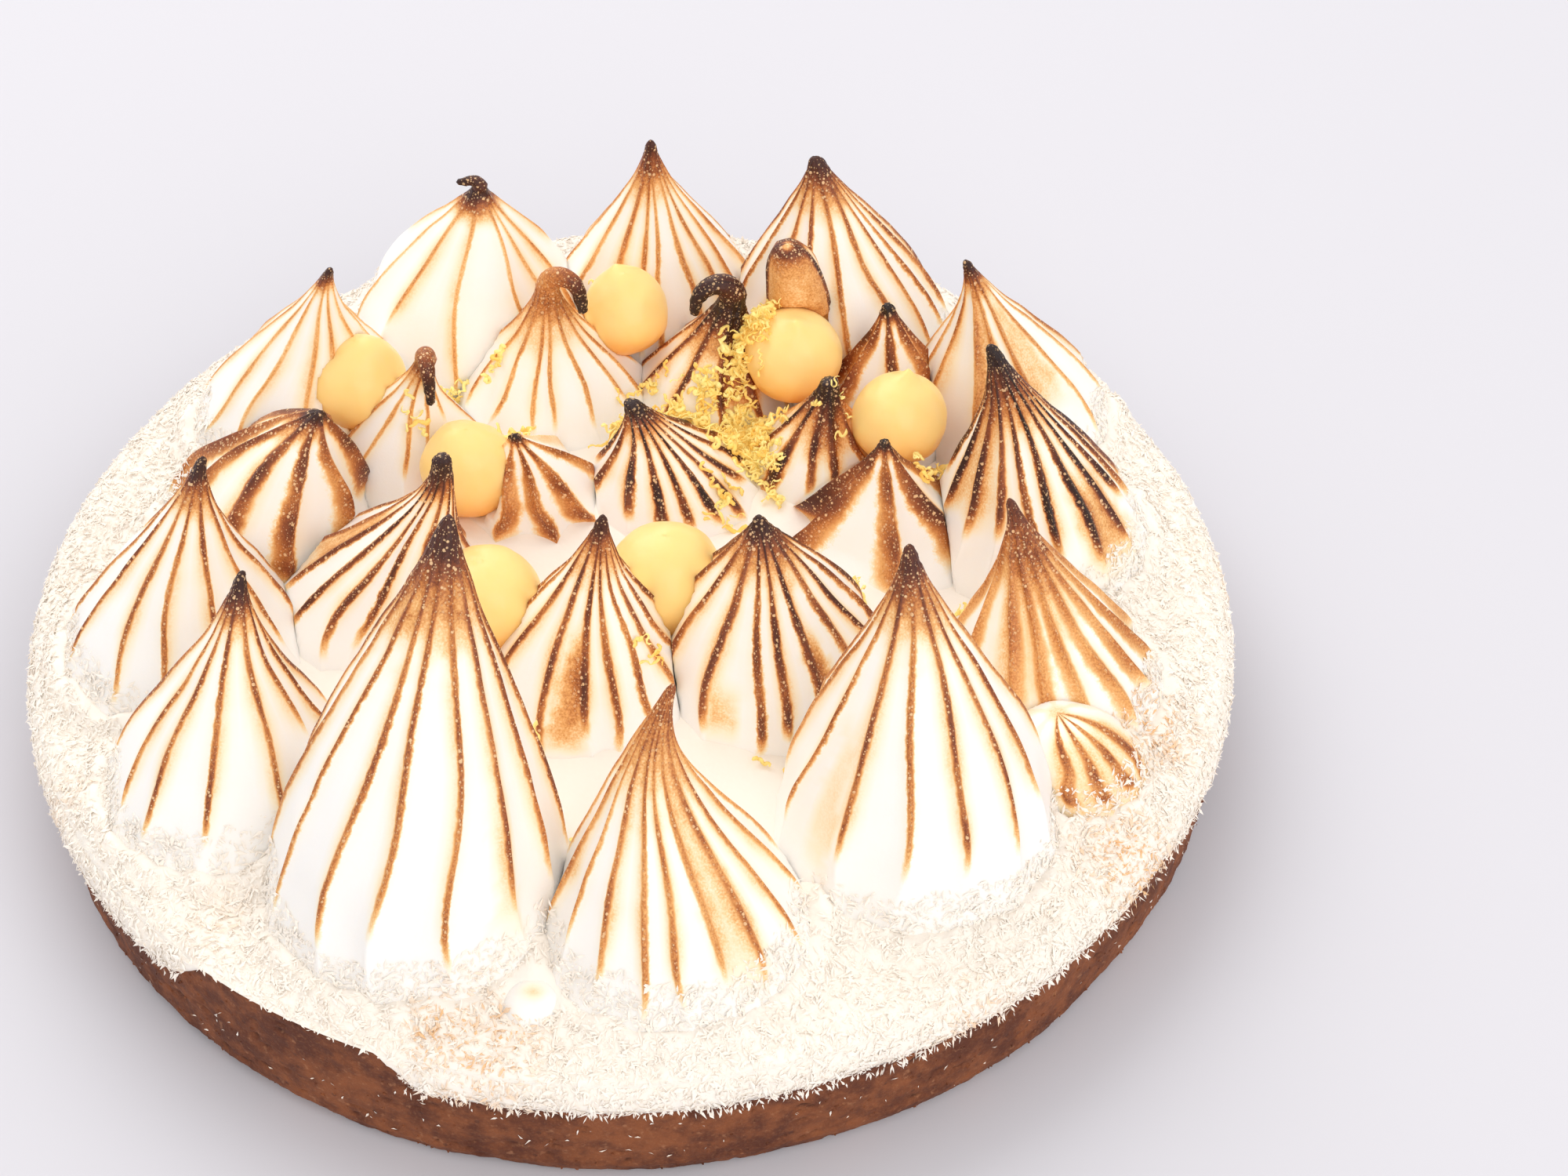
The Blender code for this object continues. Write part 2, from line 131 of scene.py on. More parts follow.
PALE = Toast(0.12, 0.88, 0.37, 0.6, 0.28, 1.8, 0.25)
KISSES = (
    # The outer ring, counter-clockwise from the right
    Kiss("kiss_right", 12.3, 69.5, 19, 42.5, (-9.5, 0), ridges=15, neck=1.1,
         toast=Toast(0.3, 0.96, 0.79, 1.0, 0.5, 2.4, 0.0, 0.2, 0.3,
                     ((-35, 22, 0.12, 0.42, 0.42), (-150, 30, 0.3, 0.8, 0.3))),
         lines=(-168, -142, -118, -93, -74, -48, -26, -8, 10)),
    Kiss("kiss_back_right", 35.5, 79, 19, 37.4, (-8.5, -3), ridges=12, groove=0.09,
         toast=Toast(0.16, 0.9, 0.46, 0.7, 0.36, 2.4, 0.15,
                     patches=((-100, 16, 0.3, 0.9, 0.36), (-45, 14, 0.3, 0.8, 0.25)))),
    Kiss("kiss_back_mid_right", 62.5, 75.3, 21, 41.8, (-4, -1), 1.5, 1.7, neck=1.3,
         toast=Toast(0.2, 0.86, 0.6, 0.75, 0.34, 1.9, 0.0), lines=(-170, -140, -112, -82, -52, -30, -12, 8)),
    Kiss("kiss_back", 88.5, 75, 20.5, 40, (0, -2),
         toast=Toast(0.24, 0.84, 0.46, 0.8, 0.34, 2.2, 0.0), lines=(-155, -122, -97, -84, -58, -38, -18, 5)),
    Kiss("kiss_back_mid_left", 115, 75, 21, 35, (4, -2), 1.28, 2.0, 11, neck=1.4, hook=(180, 1.4, 2.2, 95),
         toast=PALE, lines=(-172, -138, -95, -50, -32, -12)),
    Kiss("kiss_back_left", 142.5, 74, 20, 38, (8, -5), ridges=11, toast=PALE),
    Kiss("kiss_left_petals", 164.5, 65.5, 18.5, 27, (12, -1), 1.15, 2.0, 8, 0.2, -32, -14,
         toast=Toast(0.14, 0.9, 0.66, 1.2, 0.4, 2.6, 0.0, 0.1, 3.0)),
    Kiss("kiss_left", 188.5, 74, 19.5, 40, (8, 2), ridges=11),
    Kiss("kiss_left_front", 214, 74, 20, 42, (6, 5), ridges=11),
    Kiss("kiss_front_left", 244.2, 69, 23, 63.5, (8, 15), 1.4, 1.8, twist=20, neck=1.2,
         toast=Toast(0.22, 0.84, 0.58, 0.75, 0.3, 1.6, 0.0, 0.13, patches=((-45, 7, 0.1, 0.36, 0.12),)),
         lines=(-178, -150, -121, -98, -66, -38, -14, 14)),
    Kiss("kiss_front", 277.3, 71, 20.5, 44, (0.5, 9), ridges=14, bow=(-3, 0),
         toast=Toast(0.32, 0.56, 0.48, 0.75, 0.36, 1.9, 0.0, 0.12, patches=((-50, 15, 0.14, 0.72, 0.2),)),
         lines=(-172, -150, -126, -101, -86, -66, -42, -18, 8, 32)),
    Kiss("kiss_front_right", 312.2, 68.2, 21.5, 57.2, (-2.6, 4), 1.7, 2.0, twist=14, neck=1.0,
         toast=Toast(0.22, 0.8, 0.58, 0.75, 0.32, 1.7, 0.0, 0.19, patches=((-142, 9, 0.1, 0.5, 0.17),)),
         lines=(-188, -160, -127, -95, -66, -38, -14, 12)),
    Kiss("kiss_right_lump", 331, 82, 11, 12.5, (-4, 2), 0.6, 2.0, 8, 0.03,
         toast=Toast(0.02, 0.2, 0.5, 1.1, 0.3, 1.8, 0.0, 0.2, 1.6, ((-50, 70, 0.1, 0.9, 0.22),), others=0.2),
         lines=(-96, -66, -38, -10)),
    Kiss("kiss_right_front", 342.8, 71, 19, 38.6, (-7.8, 4), groove=0.09, twist=-25,
         toast=Toast(0.36, 0.74, 0.47, 1.0, 0.3, 2.0, 0.0, 0.14, 2.4,
                     ((-118, 22, 0.25, 0.85, 0.2), (-70, 30, 0.5, 0.85, 0.16))),
         lines=(-195, -165, -120, -97, -74, -50, -26, 0, 26)),
    # Inside the ring, from the back to the front
    Kiss("kiss_finger", 61.8, 62.2, 5.2, 34, (-3.5, -3), 0.5, 4.0, 5, 0.05, neck=0.8,
         toast=Toast(0.05, 0.46, 0.86, 1.3, 0.5, 1.8, 0.0, 0.1, 0.0, ((-80, 95, 0.2, 1.2, 0.42),), 0.6,
                     ((25.6, 51.6, 59.2, 3.2, 0.9), (25.8, 51.2, 59.6, 1.3, -0.85))),
         lines=(-178, -12)),
    Kiss("kiss_hook_left", 108, 52.5, 18.5, 26.8, (0.8, -1), neck=2.2, hook=(-20, 2.9, 4.0, 172),
         toast=Toast(0.36, 0.52, 0.46, 0.65, 0.18, 1.4, 0.0, 0.16),
         lines=(-192, -156, -127, -98, -84, -56, -27, -9, 12)),
    Kiss("kiss_hook_mid", 76, 52.5, 15, 23.8, (3.8, -1), ridges=10, neck=2.4, hook=(200, 3.4, 2.2, 172),
         toast=Toast(0.4, 0.9, 0.7, 0.9, 0.44, 2.2, 0.0, 0.1, 0.0, ((-65, 26, 0.3, 1.2, 0.62),))),
    Kiss("kiss_petals_back", 45, 63, 15.5, 25.7, (-1.5, 1), ridges=7, groove=0.26, facing=-92, neck=1.1,
         toast=Toast(0.14, 1.0, 0.72, 0.9, 0.3, 2.0, 0.0, 0.06, 3.4),
         lines=(-195, -160, -92, -22, 20, 70, 120)),
    Kiss("kiss_curl", 140.5, 53, 15.5, 25.6, (6, -3), 1.9, ridges=10, neck=1.9, hook=(-80, 2.4, 5, 165),
         toast=Toast(0.18, 0.62, 0.45, 0.6, 0.2, 1.2, 0.15, 0.2)),
    Kiss("kiss_blunt_right", 45, 44, 13.5, 22.9, (2, -2), 1.9, ridges=11, neck=1.6,
         toast=Toast(0.4, 0.92, 0.7, 1.0, 0.44, 1.9, 0.0, 0.22, 0.2,
                     ((-80, 40, 0.42, 0.95, 0.5), (-139, 9, 0.12, 0.46, 0.85)), 0.4),
         lines=(-178, -139, -102, -72, -34)),
    Kiss("kiss_blunt", 76, 25, 16.5, 21.9, (-6.5, 0.5), neck=1.5,
         toast=Toast(0.24, 0.94, 0.79, 1.5, 0.5, 2.2, 0.0, 0.2, 0.3),
         lines=(-165, -121, -92, -69, -48, -31, -8, 15)),
    Kiss("kiss_petals_left", 128, 29, 14.5, 18.8, (-2, -3), 1.5, 1.7, 7, 0.22, -68, -10,
         toast=Toast(0.12, 0.95, 0.64, 1.2, 0.34, 2.2, 0.0, 0.1, 2.2, others=0.4),
         lines=(-114, -72, -37, 15)),
    Kiss("kiss_petals_mid", 18, 44, 17, 24.2, (0, -1), ridges=6, groove=0.28, facing=-84,
         toast=Toast(0.14, 1.0, 0.72, 1.0, 0.3, 2.0, 0.0, 0.06, 4.4),
         lines=(-198, -168, -82, -20, 42, 100)),
    Kiss("kiss_middle_left", 181.5, 41, 18.5, 34, (12, -1), 2.3, neck=1.6, bow=(3, 0),
         toast=Toast(0.26, 0.9, 0.72, 0.9, 0.36, 1.9, 0.0, 0.12, 0.3, ((170, 12, 0.2, 0.6, 0.4),)),
         lines=(-178, -150, -122, -103, -70, -40)),
    Kiss("kiss_middle", 253, 21, 19, 35.2, (3.4, 3), twist=-12,
         toast=Toast(0.24, 0.86, 0.66, 0.8, 0.4, 1.9, 0.0, 0.12, 0.3, ((-101, 10, 0.1, 0.5, 0.5),)),
         lines=(-160, -122, -92, -75, -53, -31, -12, 12)),
    Kiss("kiss_middle_right", 322.5, 29.5, 19.5, 34, (-2, 2), 1.45, 2.0,
         toast=Toast(0.22, 0.9, 0.72, 0.95, 0.42, 1.9, 0.0, 0.1, 0.3,
                     ((-56, 8, 0.1, 0.5, 0.5), (-116, 9, 0.1, 0.3, 0.3))),
         lines=(-160, -126, -97, -82, -62, -34, -12, 10, 35)),
    # Two low ones, behind the tall ones at the front
    Kiss("kiss_low_left", 221.5, 46.5, 15, 17, (1, 2), 1.4, ridges=10, toast=PALE),
    Kiss("kiss_low_right", 337, 51, 13, 13, (0, 1), 1.2, ridges=10, toast=PALE),
)


class Ball(NamedTuple):
    """One ball of lemon curd. Lengths are in millimetres."""

    name: str
    x: float
    y: float
    z: float
    radius: float
    peak: float = 0.0  # height of the little point that its nozzle left
    taper: float = 0.0  # how far its whole top is drawn up


BALLS = (
    Ball("curd_back_left", -48, 38.5, 39, 8.3, taper=1.9),
    Ball("curd_back", -2.5, 56.5, 40, 7.4, 0.6, 2.1),
    Ball("curd_back_right", 27, 45, 40, 8.4, 1.3),
    Ball("curd_right", 45, 29.5, 39, 8.1, 1.9),
    Ball("curd_left", -28, 21, 35, 8.1, taper=1.7),
    Ball("curd_middle", 6.2, -8.6, 38.1, 9.6),
    Ball("curd_front", -22.5, -13, 38.3, 8.6),
)


# ---------------------------------------------------------------- settings


def millimetres(name, what, default, low, high):
    """A length, given in millimetres."""
    return FloatProperty(name=name, description=what, default=default * MM, min=low * MM, max=high * MM,
                         unit="LENGTH")


def linear(red, green, blue):
    """A screen colour, 0 to 255, as the linear colour that a shader takes."""
    shares = [c / 255 for c in (red, green, blue)]
    return tuple(c / 12.92 if c <= 0.04045 else ((c + 0.055) / 1.055) ** 2.4 for c in shares)


def colour(name, what, *screen):
    return FloatVectorProperty(name=name, description=what, subtype="COLOR", size=3, min=0, max=1,
                               default=linear(*screen))


class CrustSettings(bpy.types.PropertyGroup):
    light: colour("Baked colour", "The crust's lighter, sandy patches", 138, 79, 46)
    dark: colour("Well-baked colour", "The crust's darker patches", 91, 46, 28)
    relief: millimetres("Relief", "Depth of the crust's unevenness", 0.28, 0, 1)
    pits: IntProperty(name="Pits", description="How many pits and cracks the wall has", default=300, min=0)


class MeringueSettings(bpy.types.PropertyGroup):
    white: colour("Meringue colour", "Meringue that the torch has not reached", 254, 251, 247)
    rows: IntProperty(name="Rows", description="Rows of points from foot to tip", default=66, min=20)
    lumps: millimetres("Lumps", "Height of the soft unevenness", 0.35, 0, 2)


class CoconutSettings(bpy.types.PropertyGroup):
    white: colour("Coconut colour", "Grated coconut", 251, 244, 235)
    toasted: colour("Toasted colour", "Coconut that the torch has caught", 238, 192, 140)
    shreds: IntProperty(name="Shreds", description="How many shreds are strewn", default=23300, min=0, max=23500)
    grains: IntProperty(name="Grains", description="How many fine grains lie between them", default=20000, min=0,
                        max=24500)
    length: millimetres("Shred length", "Middling length of a shred", 1.35, 0.5, 6)


class CurdSettings(bpy.types.PropertyGroup):
    yellow: colour("Curd colour", "Lemon curd", 255, 217, 141)
    # deep is the darker orange painted onto each ball's underside as shade
    deep: colour("Deep curd colour", "The underside of a ball", 254, 168, 62)


class ZestSettings(bpy.types.PropertyGroup):
    yellow: colour("Zest colour", "Lemon zest", 255, 236, 152)
    width: millimetres("Strand width", "Width of a strand of zest", 0.66, 0.3, 3)


class StageSettings(bpy.types.PropertyGroup):
    floor: colour("Floor colour", "The plain floor", 213, 212, 219)
    key: FloatProperty(name="Key light", description="Strength of the light above the back", default=8.0,
                       min=0, unit="POWER")
    elevation: FloatProperty(name="Camera height", description="Angle of the camera above the floor",
                             default=math.radians(44.8), subtype="ANGLE")
    distance: FloatProperty(name="Camera distance", description="From the camera to what it looks at",
                            default=0.55, min=0.1, unit="LENGTH")
    lens: FloatProperty(name="Lens", description="Focal length of the camera in millimetres", default=70.52, min=10)


# ---------------------------------------------------------------- shader maths


class Bench:
    """The nodes of one material. Its method add makes any node, sets it up and links it."""

    def __init__(self, name, **constants):
        self.material = bpy.data.materials.new(name)
        self.material.use_nodes = True
        self.tree = self.material.node_tree
        self.shader = self.tree.nodes["Principled BSDF"]
        for socket, value in constants.items():
            self.shader.inputs[socket.replace("_", " ")].default_value = value

    def add(self, kind, settings=None, inputs=None, out=0):
        node = self.tree.nodes.new("ShaderNode" + kind)
        for name, value in (settings or {}).items():
            if name == "stops":
                ramp = node.color_ramp
                while len(ramp.elements) < len(value):
                    ramp.elements.new(1.0)
                for element, (place, shade) in zip(ramp.elements, value):
                    element.position = place
                    element.color = (*shade, 1.0)
            else:
                setattr(node, name, value)
        for name, value in (inputs or {}).items():
            self.feed(node.inputs[name], value)
        return Value(self, node.outputs[out])

    def feed(self, socket, value):
        if isinstance(value, Value):
            self.tree.links.new(value.socket, socket)
        elif np.size(value) == 3 and len(socket.default_value) == 4:
            socket.default_value = (*value, 1.0)
        else:
            socket.default_value = value

    def surface(self, **sockets):
        for name, value in sockets.items():
            self.feed(self.shader.inputs[name.replace("_", " ")], value)
        return self.material

    # Shorthands for the nodes that come again and again
    def place(self):
        return self.add("TexCoord", out="Object")

    def attribute(self, name):
        return self.add("Attribute", {"attribute_name": name}, out="Fac")

    def noise(self, size, detail=2.0, rough=0.5):
        """Cloudy noise from 0 to 1 with features of about a size in metres."""
        return self.add("TexNoise", None, {"Vector": self.place(), "Scale": 1 / size, "Detail": detail,
                                           "Roughness": rough})

    def cells(self, size, out="Distance"):
        return self.add("TexVoronoi", None, {"Vector": self.place(), "Scale": 1 / size}, out)

    def step(self, value, low, high):
        """0 below low and 1 above high, with a soft step between; the other way round if low is above high."""
        flipped = not isinstance(low, Value) and low > high
        made = self.add("MapRange", {"interpolation_type": "SMOOTHSTEP"},
                        {"Value": value, "From Min": high if flipped else low, "From Max": low if flipped else high})
        return 1 - made if flipped else made

    def blend(self, share, first, second):
        return self.add("Mix", {"data_type": "RGBA", "clamp_factor": True}, {0: share, 6: first, 7: second}, 2)

    def bump(self, height, distance, strength):
        return self.add("Bump", None, {"Height": height, "Distance": distance, "Strength": strength})


class Value:
    """A number that varies over a surface: Python's operators on it add Math nodes."""

    def __init__(self, bench, socket):
        self.bench = bench
        self.socket = socket

    def maths(self, operation, first, second):
        return self.bench.add("Math", {"operation": operation}, {0: first, 1: second})

    def __add__(self, other):
        return self.maths("ADD", self, other)

    def __sub__(self, other):
        return self.maths("SUBTRACT", self, other)

    def __rsub__(self, other):
        return self.maths("SUBTRACT", other, self)

    def __mul__(self, other):
        return self.maths("MULTIPLY", self, other)

    def most(self, other):
        return self.maths("MAXIMUM", self, other)

    __radd__ = __add__
    __rmul__ = __mul__


# ---------------------------------------------------------------- materials


def meringue_look(settings):
    """White meringue that browns through tan and brown to black as its toasting rises."""
    bench = Bench("torched meringue", Subsurface_Weight=0.25, Subsurface_Radius=(1.0, 0.88, 0.76),
                  Subsurface_Scale=1.2 * MM, IOR=1.4)
    crest = bench.attribute("crest")
    line = bench.attribute("line")
    burn = bench.attribute("burn")
    wide = bench.attribute("wide")
    coarse = bench.noise(1.6 * MM, 3.0)
    fine = bench.noise(0.35 * MM, 2.0)
    ragged = crest + (coarse - 0.5 + (fine - 0.5) * 0.7) * (1 - wide * 0.6)
    core = 1 - bench.step(ragged, wide * 0.4 + 0.3, 1.0)
    depth = line * (1.08 - wide * 0.62 * bench.step(ragged, 0.0, 0.9))
    toast = burn + core * (depth - burn * 0.8).most(0.0)
    grain = bench.step(toast, 0.05, 0.3) * bench.step(toast, 1.0, 0.55)
    toast = toast + ((fine - 0.5) * 0.42 + (coarse - 0.5) * 0.22) * grain
    shade = bench.add("ValToRGB", {"stops": (
        (0.0, settings.white),
        (0.1, linear(255, 240, 215)),
        (0.22, linear(250, 213, 160)),
        (0.36, linear(235, 174, 106)),
        (0.5, linear(200, 126, 66)),
        (0.64, linear(146, 78, 42)),
        (0.8, linear(88, 43, 29)),
        (0.92, linear(52, 27, 23)),
        (1.0, linear(38, 26, 26)),
    )}, {"Fac": toast})
    bubbles = bench.step(bench.cells(0.95 * MM) - bench.cells(0.95 * MM, "Color") * 0.2, 0.2, 0.08)
    beads = bench.step(bench.cells(0.48 * MM) - bench.cells(0.48 * MM, "Color") * 0.24, 0.17, 0.03)
    browned = bench.step(toast, 0.34, 0.56)
    charred = bench.step(toast, 0.8, 1.0)
    bubbles = bubbles.most(beads * 0.85) * browned * (1 - charred * 0.5)
    shade = bench.blend(bubbles * 0.84, shade, linear(248, 207, 158))
    crusty = bench.step(toast, 0.45, 0.95)
    height = (fine - 0.5) * (0.15 + crusty * 0.85) + bubbles * 0.9
    return bench.surface(
        Base_Color=shade,
        Roughness=0.5 - crusty * 0.12,
        Normal=bench.bump(height, 0.22 * MM, 0.7),
    )


def crust_look(settings):
    """Baked shortcrust: mottled brown, with dark specks, pale sandy grains and pits darkened as painted shade."""
    bench = Bench("baked shortcrust", IOR=1.4)
    broad = bench.noise(15 * MM, 3.0, 0.55)
    mottle = bench.noise(3.2 * MM, 4.0, 0.6)
    grain = bench.noise(0.5 * MM, 2.0, 0.6)
    share = bench.step(broad * 0.55 + mottle * 0.45, 0.40, 0.62)
    shade = bench.blend(share, settings.dark, settings.light)
    pale = bench.step(bench.noise(1.3 * MM, 2.0), 0.62, 0.76) * 0.4
    shade = bench.blend(pale, shade, linear(182, 128, 92))
    specks = bench.step(bench.cells(2.6 * MM), 0.2, 0.1) * bench.step(bench.cells(2.6 * MM, "Color"), 0.45, 0.55)
    shade = bench.blend(specks * 0.5, shade, linear(72, 36, 26))
    # Painted shade: the pits and cracks are darkened
    pit = bench.attribute("pit")
    shade = bench.blend(bench.step(pit, 0.2, 0.8) * 0.75, shade, linear(58, 28, 22))
    shade = bench.blend((grain - 0.5).most(0) * 0.6, shade, linear(186, 132, 94))
    height = mottle * 0.6 + grain * 0.5 - specks * 0.3
    return bench.surface(Base_Color=shade, Roughness=0.68 + mottle * 0.2,
                         Normal=bench.bump(height, 0.35 * MM, 0.8))


def coconut_look(settings):
    """Grated coconut: white, faintly creamy, and tan where it is toasted."""
    bench = Bench("grated coconut", IOR=1.3, Specular_IOR_Level=0.3)
    toast = bench.attribute("toast")
    fine = bench.noise(0.8 * MM, 2.0)
    shade = bench.blend(bench.step(toast, 0.0, 1.0), settings.white, settings.toasted)
    shade = bench.blend((fine - 0.5).most(0) * 0.2, shade, linear(250, 236, 214))
    return bench.surface(Base_Color=shade, Roughness=0.72 + fine * 0.1,
                         Normal=bench.bump(fine, 0.2 * MM, 0.4))


def curd_look(settings):
    """Set lemon curd: satin and a little see-through, with painted shade that turns it deeper orange towards the
    underside, and a faint painted glow of its own colour.
    """
    # Painted glow: the curd gives off a little light of its own colour, to brighten its shaded side
    bench = Bench("lemon curd", Subsurface_Weight=0.4, Subsurface_Radius=(1.0, 0.75, 0.4),
                  Subsurface_Scale=3.0 * MM, IOR=1.42, Emission_Strength=0.07)
    low = bench.attribute("low")
    cloud = bench.noise(5 * MM, 2.0)
    # Painted shade: the curd blends towards the deep colour lower down each ball
    under = bench.step(low + (cloud - 0.5) * 0.2, 0.32, 0.92)
    shade = bench.blend(under, settings.yellow, settings.deep)
    shade = bench.blend(bench.step(cloud, 0.5, 0.8) * 0.35, shade, linear(255, 219, 152))
    return bench.surface(Base_Color=shade, Emission_Color=shade, Roughness=0.24 + cloud * 0.14,
                         Normal=bench.bump(bench.noise(2.4 * MM, 3.0), 0.2 * MM, 0.45))


def zest_look(settings):
    """Fresh lemon zest: yellow, deeper on some strands, with fine pores and a faint painted glow of its own colour.
    """
    # Painted glow: the zest gives off a little light of its own colour, to brighten its strands
    bench = Bench("lemon zest", IOR=1.4, Emission_Strength=0.12)
    tone = bench.attribute("tone")
    pores = bench.cells(0.45 * MM)
    shade = bench.blend(tone, settings.yellow, linear(255, 212, 108))
    shade = bench.blend(bench.step(pores, 0.35, 0.1) * 0.35, shade, linear(255, 232, 150))
    return bench.surface(Base_Color=shade, Emission_Color=shade, Roughness=0.5 + pores * 0.15,
                         Normal=bench.bump(pores, 0.12 * MM, 0.6))


def floor_look(settings):
    bench = Bench("pale floor", Roughness=0.85)
    shade = bench.blend(bench.noise(0.3, 1.0) * 0.12, settings.floor, linear(206, 205, 213))
    return bench.surface(Base_Color=shade)


# ---------------------------------------------------------------- making meshes

HASH_PRIMES = (73856093, 19349663, 83492791)
HASH_MIX = 1274126177


def soft_step(low, high, value):
    share = np.clip((value - low) / (high - low), 0.0, 1.0)
    return share * share * (3 - 2 * share)


def clouds(points, size, seed):
    """Smooth noise from about -1 to 1 at each point, with features of a size in the points' own unit."""
    spots = np.asarray(points, float) / size + np.array((7.31, 3.17, 1.73)) * seed
    cell = np.floor(spots).astype(np.int64)
    part = spots - cell
    ease = part**3 * (part * (part * 6 - 15) + 10)
    total = np.zeros(spots.shape[:-1])
    for corner in np.ndindex(2, 2, 2):
        key = (cell + np.array(corner)) @ np.array(HASH_PRIMES)
        key = ((key ^ (key >> 13)) * HASH_MIX) & 0x3FFFFFFF
        slope = np.stack([(key >> shift & 1023) / 511.5 - 1 for shift in (0, 10, 20)], -1)
        weight = np.where(corner, ease, 1 - ease).prod(-1)
        total += weight * (slope * (part - np.array(corner))).sum(-1)
    return total * 1.3


def wobble(angle, waves, phase):
    return noise.noise(Vector((math.cos(angle) * waves, math.sin(angle) * waves, phase)))


def bareness(angle):
    """1 where the coconut has come off the crust's wall, 0 elsewhere, with a short slope between."""
    away = abs((angle - BARE_MIDDLE + math.pi) % TAU - math.pi)
    return max(0.0, min(1.0, (BARE_HALF_WIDTH + BARE_SLOPE - away) / BARE_SLOPE))


def add_skin(name, columns, rows):
    """A grid to wrap into a closed skin, with the row, from the foot up, and the column of each of its points."""
    bpy.ops.object.select_all(action="DESELECT")
    bpy.ops.mesh.primitive_grid_add(x_subdivisions=columns, y_subdivisions=rows)
    made = bpy.context.object
    made.name = name
    made.data.name = name
    index = np.arange(len(made.data.vertices))
    return made, index // (columns + 1), index % (columns + 1) % columns


@contextmanager
def opened(mesh):
    """Opens a mesh for changes, and writes them back."""
    work = bmesh.new()
    work.from_mesh(mesh)
    yield work
    work.to_mesh(mesh)
    work.free()


def wrap(made, row, column, rings, **values):
    """Pulls a grid's points to rings of places in millimetres, writes its values, and closes its seam and poles."""
    points = rings[row, column] * MM
    made.data.vertices.foreach_set("co", points.astype(np.float32).ravel())
    for name, value in values.items():
        write_values(made, name, value[row, column])
    ends = (column == 0) | (row == 0) | (row == row[-1])
    with opened(made.data) as work:
        bmesh.ops.remove_doubles(work, verts=[v for v, end in zip(work.verts, ends) if end], dist=1e-6)
    bpy.ops.object.shade_smooth()


def write_values(made, name, values):
    attribute = made.data.attributes.new(name, "FLOAT", "POINT")
    attribute.data.foreach_set("value", np.asarray(values, np.float32).ravel())


def joined_copies(name, points, faces, values, value_name):
    """One mesh out of many copies: points is copies x points x 3, and faces are those of one copy."""
    copies, each = points.shape[:2]
    face_array = np.asarray(faces)[None] + (np.arange(copies) * each)[:, None, None]
    mesh = bpy.data.meshes.new(name)
    mesh.from_pydata(points.reshape(-1, 3).tolist(), [], face_array.reshape(-1, face_array.shape[-1]).tolist())
    mesh.update()
    made = bpy.data.objects.new(name, mesh)
    bpy.context.scene.collection.objects.link(made)
    write_values(made, value_name, np.repeat(values, each))
    return made


def settle(made, look, slot, *nodes):
    """Gives a finished piece its material and its body, and hides the solids that it stands for. The slot is not
    used.
    """
    made.data.materials.clear()
    made.data.materials.append(look)
    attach(made, "root")
    if nodes:
        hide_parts(*nodes)


# ---------------------------------------------------------------- crust and coconut bed


def ring_angles(columns):
    return np.arange(columns) * TAU / columns


def turned_rings(profile, columns):
    """Rings of a turned piece, and how far each point is from its axis.

    Each row is radius, height, share of unevenness, and both sizes where the wall is bare.
    """
    angles = ring_angles(columns)
    bare = np.array([bareness(a) for a in angles])
    uneven = UNEVENNESS * np.array([wobble(a, 2.5, 3.0) for a in angles])
    rings = np.empty((len(profile), columns, 3))
    for index, (radius, height, share, bare_radius, bare_height) in enumerate(profile):
        out = radius + (bare_radius - radius) * bare + share * uneven
        rings[index, :, 0] = out * np.cos(angles)
        rings[index, :, 1] = out * np.sin(angles)
        rings[index, :, 2] = height + (bare_height - height) * bare
    return rings, np.linalg.norm(rings[..., :2], axis=-1)


def resample(profile, spacing):
    """Adds rows to a profile, so that none lie further apart than a spacing."""
    made = [profile[0]]
    for before, after in zip(profile, profile[1:]):
        apart = math.hypot(after[0] - before[0], after[1] - before[1])
        steps = max(1, math.ceil(apart / spacing(0.5 * (before[0] + after[0]))))
        for step in range(1, steps + 1):
            share = step / steps
            made.append(tuple(a + (b - a) * share for a, b in zip(before, after)))
    return made


def push_out(rings, amount):
    """Moves ring points away from the pie's axis by an amount in millimetres."""
    flat = rings[..., :2]
    size = np.maximum(np.linalg.norm(flat, axis=-1, keepdims=True), 1e-6)
    rings[..., :2] += flat / size * amount[..., None]


